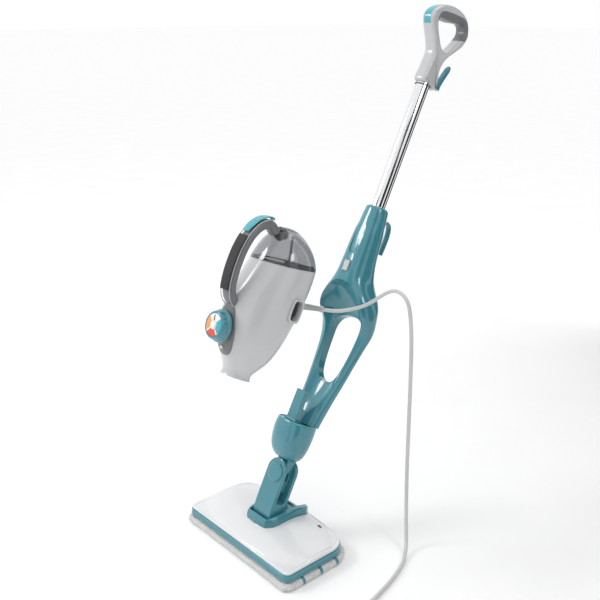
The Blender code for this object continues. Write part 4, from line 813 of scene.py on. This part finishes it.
def held_room(grow):
    """The space that the handheld sweeps along its way into the cradle."""
    bm = bmesh.new()
    path = Vector((0, HELD_Y - DOCK_Y, HELD_Z - DOCK_Z))
    for k in (0.0, 0.7):
        for r in body_rings(BODY + DOME, grow, 72, 3):
            for q in r:
                bm.verts.new(Vector(q) + Vector((0, DOCK_Y, DOCK_Z + grow * 0.8)) + path * k)
        bm.verts.new(Vector((0, DOCK_Y + 0.004, DOCK_Z + 0.2817 + grow)) + path * k)
    bmesh.ops.convex_hull(bm, input=bm.verts)
    bmesh.ops.delete(bm, geom=[w for w in bm.verts if not w.link_faces], context="VERTS")
    verts = [tuple(w.co) for w in bm.verts]
    bm.verts.index_update()
    faces = [tuple(w.index for w in f.verts) for f in bm.faces]
    bm.free()
    return piece("tool", verts, faces, AT_POLE)


def on_surface(ob, line):
    """Where lines from the front at each (x, z) first meet a piece, in pole coordinates, without misses."""
    found, ahead, back = [], -0.12, AT_POLE.to_3x3() @ Vector((0, 1, 0))
    for x, z in line:
        hit, at, *_ = ob.ray_cast(AT_POLE @ Vector((x, ahead, z)), back)
        if hit:
            found.append(AT_POLE.inverted() @ at)
    return found


def bead(name, line, r, mat, push=0.0, n=12):
    """A fine round bead along a line on the pole, pushed back by push."""
    finish(piece(name, *tube([(x, y + push, z) for x, y, z in line], r, n), AT_POLE), "pole", mat)


cradle = piece("cradle_shell", *loft([ring(a, yf, yb, z, 2.6 if z < 0.50 else 2.15, 120)
                                      for z, a, yf, yb in smooth_line(CRADLE, 3)]), AT_POLE)
carve(cradle, held_room(0.0018))
cut(cradle, prism(window_line(0.0), "y", -0.2, 0.2), AT_POLE)
cut(cradle, rod((0, 0, 0.4395), (0, 0, 0.7), BORE_R, 64), AT_POLE)
cut(cradle, box(-0.0067, 0.0067, -0.05, -0.0050, 0.4110, 0.4330), AT_POLE)
cut(cradle, prism(PANEL, "y", -0.05, -0.0236), AT_POLE)
shade(cradle, 38)
finish(cradle, "pole", "teal_gloss", "cradle_frame", "cradle_back")
bpy.context.view_layer.update()
# raised lip round the window
lip = on_surface(cradle, window_line(0.0016))
bead("window_lip", lip + lip[:1], 0.0012, "teal_gloss", 0.0007)
# two fine ribs that spread from the panel down to the release button, and a lip round the button
for k, sx in enumerate((-1, 1)):
    run = [(sx * (0.0022 + 0.0068 * i / 12), 0.4780 - 0.0400 * i / 12) for i in range(13)]
    bead("front_rib_%d" % (k + 1), on_surface(cradle, run), 0.0007, "teal_light", -0.0001, 10)
button_mid = 0.4220
loop = [(0.0083 * c, button_mid + 0.0126 * q) for c, q in (power(t, 4.0) for t in around(48) + [0.0])]
bezel = [q for q in on_surface(cradle, loop) if q.y > -0.035]
bead("button_bezel", bezel, 0.0009, "teal_gloss", -0.0001, 10)
# a lip round the top of the collar, where the tube enters, in lighter teal: a painted highlight on the rim
lip_a, lip_b, lip_y, lip_z = 0.01845, 0.01827, 0.00018, 0.5474
bead("collar_lip_painted_highlight", [(lip_a * math.cos(t), lip_y + lip_b * math.sin(t), lip_z) for t in around(64) + [0.0]],
     0.0012, "teal_light")

CUP = [  # z, half width, front, back
    (0.0300, 0.0190, -0.0160, 0.0195), (0.0322, 0.0228, -0.0220, 0.0215), (0.0380, 0.0280, -0.0285, 0.0238),
    (0.0480, 0.0328, -0.0350, 0.0265), (0.0620, 0.0358, -0.0395, 0.0285), (0.0800, 0.0372, -0.0425, 0.0300),
    (0.0950, 0.0368, -0.0430, 0.0305), (0.1035, 0.0358, -0.0420, 0.0305), (0.1055, 0.0350, -0.0410, 0.0300)]
rows = smooth_line(CUP, 4)
outer = [ring(a, yf, yb, z, 2.7, 120) for z, a, yf, yb in rows]
inner = [ring(a - 0.003, yf + 0.003, yb - 0.003, z, 2.7, 120) for z, a, yf, yb in rows if z > 0.036]
cup = piece("cup_shell", *loft(outer), AT_POLE)
cut(cup, loft(inner[:-1] + [[(x, y, 0.12) for x, y, _ in inner[-1]]]), AT_POLE)
cut(cup, box(-0.0153, 0.0153, -0.0084, 0.0134, 0.0, 0.0443), AT_POLE)
shade(cup, 38)
finish(cup, "pole", "teal_gloss", "cup_housing")
# a bead round the cup's rim in lighter teal: a painted highlight on the lip
rim_line = ring(0.0344, -0.0402, 0.0294, 0.1056, 2.7, 96)
bead("cup_lip_painted_highlight", rim_line + rim_line[:1], 0.0011, "teal_light")

# ---------------------------------------------------------------- top handle
GRIP_OUT = [
    (-0.0168, 0.8060), (-0.0166, 0.8300), (-0.0152, 0.8500), (-0.0158, 0.8670), (-0.0262, 0.8826),
    (-0.0385, 0.8960), (-0.0520, 0.9124), (-0.0547, 0.9250), (-0.0482, 0.9380), (-0.0355, 0.9497),
    (-0.0230, 0.9565), (-0.0063, 0.9621), (0.0150, 0.9650), (0.0337, 0.9630), (0.0482, 0.9565),
    (0.0593, 0.9433), (0.0645, 0.9269), (0.0584, 0.9080), (0.0442, 0.8885), (0.0305, 0.8720),
    (0.0222, 0.8570), (0.0196, 0.8420), (0.0218, 0.8300), (0.0262, 0.8190), (0.0262, 0.8080),
    (0.0225, 0.8010), (0.0060, 0.8030)]
GRIP_IN = [
    (0.0180, 0.8785), (0.0060, 0.8785), (-0.0030, 0.8830), (-0.0130, 0.8925), (-0.0230, 0.9030),
    (-0.0305, 0.9140), (-0.0325, 0.9215), (-0.0260, 0.9265), (0.0040, 0.9330), (0.0280, 0.9420),
    (0.0420, 0.9445), (0.0500, 0.9400), (0.0520, 0.9300), (0.0455, 0.9140), (0.0370, 0.8985),
    (0.0275, 0.8850)]
GRIP_HALF, GRIP_ROUND = 0.0150, 0.0095


def pillow(line, half, round_x, round_in, sign=1, steps=7):
    """A solid across the pole, its outline drawn in by round_in at both faces (out, if sign is -1)."""
    levels = []
    for i in range(steps + 1):
        t = math.pi / 2 * i / steps
        levels.append((half - round_x + round_x * math.sin(t), sign * round_in * (1 - math.cos(t))))
    rows = [(-x, d) for x, d in levels[::-1]] + levels
    loops = [[(x, u, v) for u, v in inset(line, d)] for x, d in rows]
    if sign < 0:
        loops = [[(-0.05, y, z) for _, y, z in loops[0]]] + loops + [[(0.05, y, z) for _, y, z in loops[-1]]]
    return loft(loops)


def top_handle(name):
    """The whole closed handle; its liner and insert are cut from copies of it."""
    ob = piece(name, *pillow(smooth_loop(GRIP_OUT, 6), GRIP_HALF, GRIP_ROUND, 0.0062), AT_POLE)
    cut(ob, pillow(smooth_loop(GRIP_IN, 6), GRIP_HALF, GRIP_ROUND, 0.0050, -1), AT_POLE)
    return ob


handle, soft_grip, insert = top_handle("grip_handle"), top_handle("grip_liner"), top_handle("grip_insert")
liner_line = smooth_loop([(-0.0330, 0.9150), (-0.0385, 0.9240), (-0.0330, 0.9370), (-0.0120, 0.9450),
                          (0.0240, 0.9535), (0.0430, 0.9525), (0.0560, 0.9420), (0.0582, 0.9310),
                          (0.0535, 0.9180), (0.0300, 0.9160), (0.0, 0.9160)], 6)
insert_line = smooth_loop([(-0.0700, 0.9080), (-0.0700, 0.9600), (-0.0330, 0.9660), (-0.0270, 0.9600),
                           (-0.0330, 0.9440), (-0.0420, 0.9340), (-0.0460, 0.9260), (-0.0450, 0.9080)], 6)
cut(soft_grip, prism(liner_line, "x", -0.05, 0.05), AT_POLE, "INTERSECT")
cut(insert, prism(inset(insert_line, 0.0003), "x", -0.0075, 0.0075), AT_POLE, "INTERSECT")
cut(handle, prism(inset(liner_line, -0.0003), "x", -0.05, 0.05), AT_POLE)
cut(handle, prism(insert_line, "x", -0.0079, 0.0079), AT_POLE)
cut(handle, rod((0, 0, 0.7), (0, 0, 0.8423), BORE_R, 64), AT_POLE)
cut(handle, rod((0, 0.0190, 0.8160), (0, 0.0400, 0.8160), 0.0058, 40), AT_POLE)
for ob in (handle, soft_grip, insert):
    shade(ob, 40)
finish(handle, "pole", "white_gloss", "d_handle")
finish(soft_grip, "pole", "grey_plastic")
finish(insert, "pole", "teal_light", "handle_insert")
# a dark ring round the tube where it enters the handle's collar: painted shadow of the gap there
shadow_ring_r, shadow_ring_z = 0.0150, 0.8012
bead("painted_shadow_ring", [(shadow_ring_r * math.cos(t), shadow_ring_r * math.sin(t), shadow_ring_z + 0.0006 * math.sin(t))
                   for t in around(64) + [0.0]], 0.0010, "dark_grey")

# ---------------------------------------------------------------- floor head
HEAD_L, HEAD_FRONT, HEAD_MID, HEAD_BACK = 0.300, -0.075, 0.003, 0.086
PAD_OVER, PAD_T, BASE_TOP = 0.009, 0.0135, 0.0300


def footprint(grow=0.0, n_corner=14):
    """The head's outline seen from above: straight front, bowed back with large corners."""
    half, front, back = HEAD_L / 2 + grow, HEAD_FRONT - grow, HEAD_BACK + grow
    rf, rb, bow = 0.012 + grow, 0.042 + grow, 0.006
    low, high = front + rf, back - rb - bow
    side = [low + (high - low) * k / 12 for k in range(1, 12)]
    rear = [-1 + 2 * k / 32 for k in range(1, 32)]

    def corner(x, y, r, start):
        angles = [math.radians(start + 90 * i / n_corner) for i in range(n_corner + 1)]
        return [(x + r * math.cos(t), y + r * math.sin(t)) for t in angles]

    right = corner(half - rf, low, rf, -90) + [(half, y) for y in side] + corner(half - rb, high, rb, 0)
    middle = [((rb - half) * f, back - bow * f * f) for f in rear]
    left = corner(rb - half, high, rb, 90) + [(-half, y) for y in side[::-1]]
    return right + middle + left + corner(rf - half, low, rf, 180) + [((half - rf) * f, front) for f in rear]


def dome(x, y):
    """Height of the white cover above the floor."""
    e = min(1.0, abs(2 * x / HEAD_L) ** 2.6 + (abs(y - HEAD_MID) / 0.0785) ** 2.6)
    centre = math.exp(-((x / 0.060) ** 2 + ((y - 0.020) / 0.055) ** 2))
    return BASE_TOP + GAP + 0.0042 + 0.0105 * (1 - e) ** 0.6 + 0.0045 * centre


SOCK_X, SOCK_BACK, SOCK_FRONT = 0.0385, 0.0790, -0.0265


def socket_outline(g):
    """Seen from above: broad rounded front, straight sides, rounded back."""
    pts = [(-SOCK_X - g, SOCK_BACK - 0.008), (-SOCK_X - g, 0.0), (-SOCK_X - g + 0.002, -0.012),
           (-SOCK_X + 0.012, SOCK_FRONT + 0.001 - g), (0.0, SOCK_FRONT - 0.0015 - g)]
    right = [(-x, y) for x, y in pts[:-1]][::-1]
    return pts + right + [(SOCK_X + g - 0.004, SOCK_BACK + g), (-SOCK_X - g + 0.004, SOCK_BACK + g)]


cover_rings = []
for g, h in ((-0.0008, GAP), (-0.0002, 0.0012)):
    cover_rings.append([(x, y, BASE_TOP + h) for x, y in footprint(g)])
GROOVE_AT = 0.955
scales = [1.0, 0.996, 0.985, 0.972, 0.964, 0.959, GROOVE_AT, 0.951, 0.946, 0.935, 0.91, 0.88, 0.84,
          0.80, 0.74, 0.66, 0.58, 0.50, 0.42, 0.34, 0.26, 0.18, 0.10, 0.03]
rim_drop = {1.0: 0.0016, 0.996: 0.0005}
for k in scales:
    drop = 0.0009 * math.exp(-((k - GROOVE_AT) / 0.004) ** 2) + rim_drop.get(k, 0.0)
    level = [(x * k, HEAD_MID + (y - HEAD_MID) * k) for x, y in footprint(-0.0002)]
    cover_rings.append([(x, y, dome(x, y) - drop) for x, y in level])
cover = piece("head_shell", *loft(cover_rings), AT_WORLD)
cut(cover, loft([[(x, y, z) for x, y in socket_outline(GAP)] for z in (0.02, 0.09)]), AT_WORLD)
shade(cover, 38)
finish(cover, "head", "cover_white", "head_cover", slot="white_gloss")
Z0 = PAD_T + GAP
BASE = [  # how far it stands out, height
    (-0.0035, Z0), (-0.0010, Z0 + 0.0004), (0.0010, Z0 + 0.0018), (0.0020, Z0 + 0.0040),
    (0.0025, Z0 + 0.0062), (0.0024, Z0 + 0.0072), (0.0016, Z0 + 0.0081), (0.0012, Z0 + 0.0090),
    (0.0012, BASE_TOP - 0.0022), (0.0009, BASE_TOP - 0.0010), (0.0, BASE_TOP - 0.0002), (-0.0012, BASE_TOP)]
base = piece("base_band", *loft([[(x, y, z) for x, y in footprint(g)] for g, z in BASE]), AT_WORLD)
notch = 0.0040
low, high = Z0 - 0.001, Z0 + 0.0042
for x in (-0.136, -0.055, 0.0275, 0.122):
    cut(base, box(x - notch, x + notch, HEAD_FRONT - 0.01, HEAD_FRONT + 0.0020, low, high), AT_WORLD)
for y in (-0.017, 0.0385):
    cut(base, box(HEAD_L / 2 - 0.0020, 0.17, y - notch, y + notch, low, high), AT_WORLD)
shade(base, 38)
finish(base, "head", "teal_gloss", "base_plate")


def pad_shape():
    """The towelling pad before it is filled out, a little smaller than the space it has."""
    levels = [(PAD_OVER - 0.0060, 0.0003), (PAD_OVER - 0.0030, 0.0010), (PAD_OVER - 0.0016, 0.0035),
              (PAD_OVER - 0.0012, 0.0070), (PAD_OVER - 0.0018, 0.0100), (PAD_OVER - 0.0035, 0.0122),
              (PAD_OVER - 0.0065, PAD_T - 0.0004)]
    return piece("terry_pad", *loft([[(x, y, z) for x, y in footprint(g)] for g, z in levels]))


def swell(ob, frames=20):
    """Cloth with air pressed into it, without gravity, taken as it is after the last frame."""
    cloth = ob.modifiers.new("cloth", "CLOTH")
    cloth.settings.use_pressure = True
    cloth.settings.uniform_pressure_force = 4.0
    cloth.settings.effector_weights.gravity = 0.0
    cloth.settings.quality = 6
    cloth.point_cache.frame_start, cloth.point_cache.frame_end = 1, frames
    for k in range(1, frames + 1):
        bpy.context.scene.frame_set(k)
    settle(ob)
    bpy.context.scene.frame_set(1)


pad = pad_shape()
remesh = pad.modifiers.new("even", "REMESH")
remesh.mode, remesh.voxel_size = "VOXEL", 0.0042
settle(pad)
at_start = [v.co.copy() for v in pad.data.vertices]
swell(pad)
MOST_MOVE, WRINKLE = 0.0035, 0.0005
for v, was in zip(pad.data.vertices, at_start):
    move = v.co - was
    if move.length > MOST_MOVE:
        move = move.normalized() * MOST_MOVE
    co = was + move
    wave = math.sin(co.x * 190.0 + 3.0 * math.sin(co.y * 60.0)) * math.sin(co.y * 170.0 + co.x * 23.0)
    co.z = min(max(co.z + WRINKLE * wave, 0.0), PAD_T + 0.0002)
    v.co = co
subdivide = pad.modifiers.new("smooth", "SUBSURF")
subdivide.levels = subdivide.render_levels = 1
settle(pad)
# the pad fills its space sideways, and its loops stand out a little
half = max(abs(v.co.x) for v in pad.data.vertices)
front, back = min(v.co.y for v in pad.data.vertices), max(v.co.y for v in pad.data.vertices)
pad_x, pad_front, pad_back = HEAD_L / 2 + PAD_OVER - 0.0010, HEAD_FRONT - PAD_OVER, HEAD_BACK + PAD_OVER
grown = []
for v in pad.data.vertices:
    loop = 0.0009 * mathutils.noise.noise(v.co * 430.0) if 0.0015 < v.co.z < 0.0115 else 0.0
    x = v.co.x * pad_x / half + v.normal.x * loop
    y = pad_front + (v.co.y - front) * (pad_back - pad_front) / (back - front) + v.normal.y * loop
    grown.append((x, min(max(y, pad_front), pad_back), v.co.z))
for v, co in zip(pad.data.vertices, grown):
    v.co = co
shade(pad, 80)
finish(pad, "head", "terry_white", "mop_pad")

# crisp edges of the joint's mouldings catch the light
for name in ("joint_socket", "joint_fork", "swing_tongue", "cord_hook_upper", "cord_hook_lower",
             "steam_block"):
    bevel(NODES[name], 0.0006, 2, 38)


# ---------------------------------------------------------------- light and floor
AIM = Vector((0.0, 0.12, 0.45))


def stage_card(name, corners, low, high, rough):
    """A sheet of paper in the studio, with a faint tooth; four corners."""
    mesh = bpy.data.meshes.new(name)
    mesh.from_pydata(corners, [], [(0, 1, 2, 3)])
    ob = bpy.data.objects.new(name, mesh)
    bpy.context.collection.objects.link(ob)
    m, t, s = nodes_of(name + "_paper")
    vec = coords(t)
    tone = ramp(t, noise(t, vec, 6.0, 3.0), [(0.3, (low,) * 3), (0.7, (high,) * 3)])
    put(t, s, Base_Color=tone, Roughness=spread(t, noise(t, vec, 60.0), rough, rough + 0.15),
        Specular_IOR_Level=0.1)
    mesh.materials.append(m)
    return ob


def dark_card(name, turn, wide, dist):
    """A tall dark card that gives the tube its streaks, turned round the object from the camera's side."""
    away = Vector((V_BACK.x, V_BACK.y, 0)).normalized()
    left_edge, right_edge = math.radians(turn - wide / 2), math.radians(turn + wide / 2)
    low, high = 0.05, 2.6
    pts = []
    for a, z in ((left_edge, low), (right_edge, low), (right_edge, high), (left_edge, high)):
        d = (away * math.cos(a) + V_RIGHT * math.sin(a)) * dist
        pts.append((AIM.x + d.x, AIM.y + d.y, z))
    card = stage_card(name, pts, 0.020, 0.030, 0.8)
    card.visible_camera = card.visible_shadow = False


def studio():
    """A pale floor, a bright even surround, soft lights and dark cards out of view."""
    reach, under = 40.0, -0.0004
    corners = [(-reach, -reach, under), (reach, -reach, under), (reach, reach, under), (-reach, reach, under)]
    stage_card("floor", corners, 0.97, 0.99, 0.75)
    dark_card("card_near", 20.0, 36.0, 2.6)
    dark_card("card_left", -45.0, 7.0, 2.6)
    dark_card("card_side", 82.0, 34.0, 1.7)
    dark_card("card_far", 122.0, 26.0, 1.5)
    world = bpy.data.worlds.new("surround")
    world.use_nodes = True
    sky = world.node_tree.nodes["Background"]
    sky.inputs["Color"].default_value = (1.0, 1.0, 1.0, 1)
    sky.inputs["Strength"].default_value = 1.0
    bpy.context.scene.world = world
    for name, way, dist, size, energy in (("key", (-0.75, -0.75, 0.8), 2.4, 0.6, 15.0),
                                          ("side", (1.0, 0.10, 0.7), 2.2, 0.5, 6.0),
                                          ("top", (0.1, 0.5, 1.0), 2.4, 1.0, 6.0)):
        d = Vector(way).normalized()
        data = bpy.data.lights.new(name, "AREA")
        data.energy, data.size = energy, size
        ob = bpy.data.objects.new(name, data)
        bpy.context.collection.objects.link(ob)
        ob.location = AIM + d * dist
        ob.rotation_euler = (-d).to_track_quat("-Z", "Y").to_euler()
    bpy.context.scene.view_settings.view_transform = "Standard"


studio()
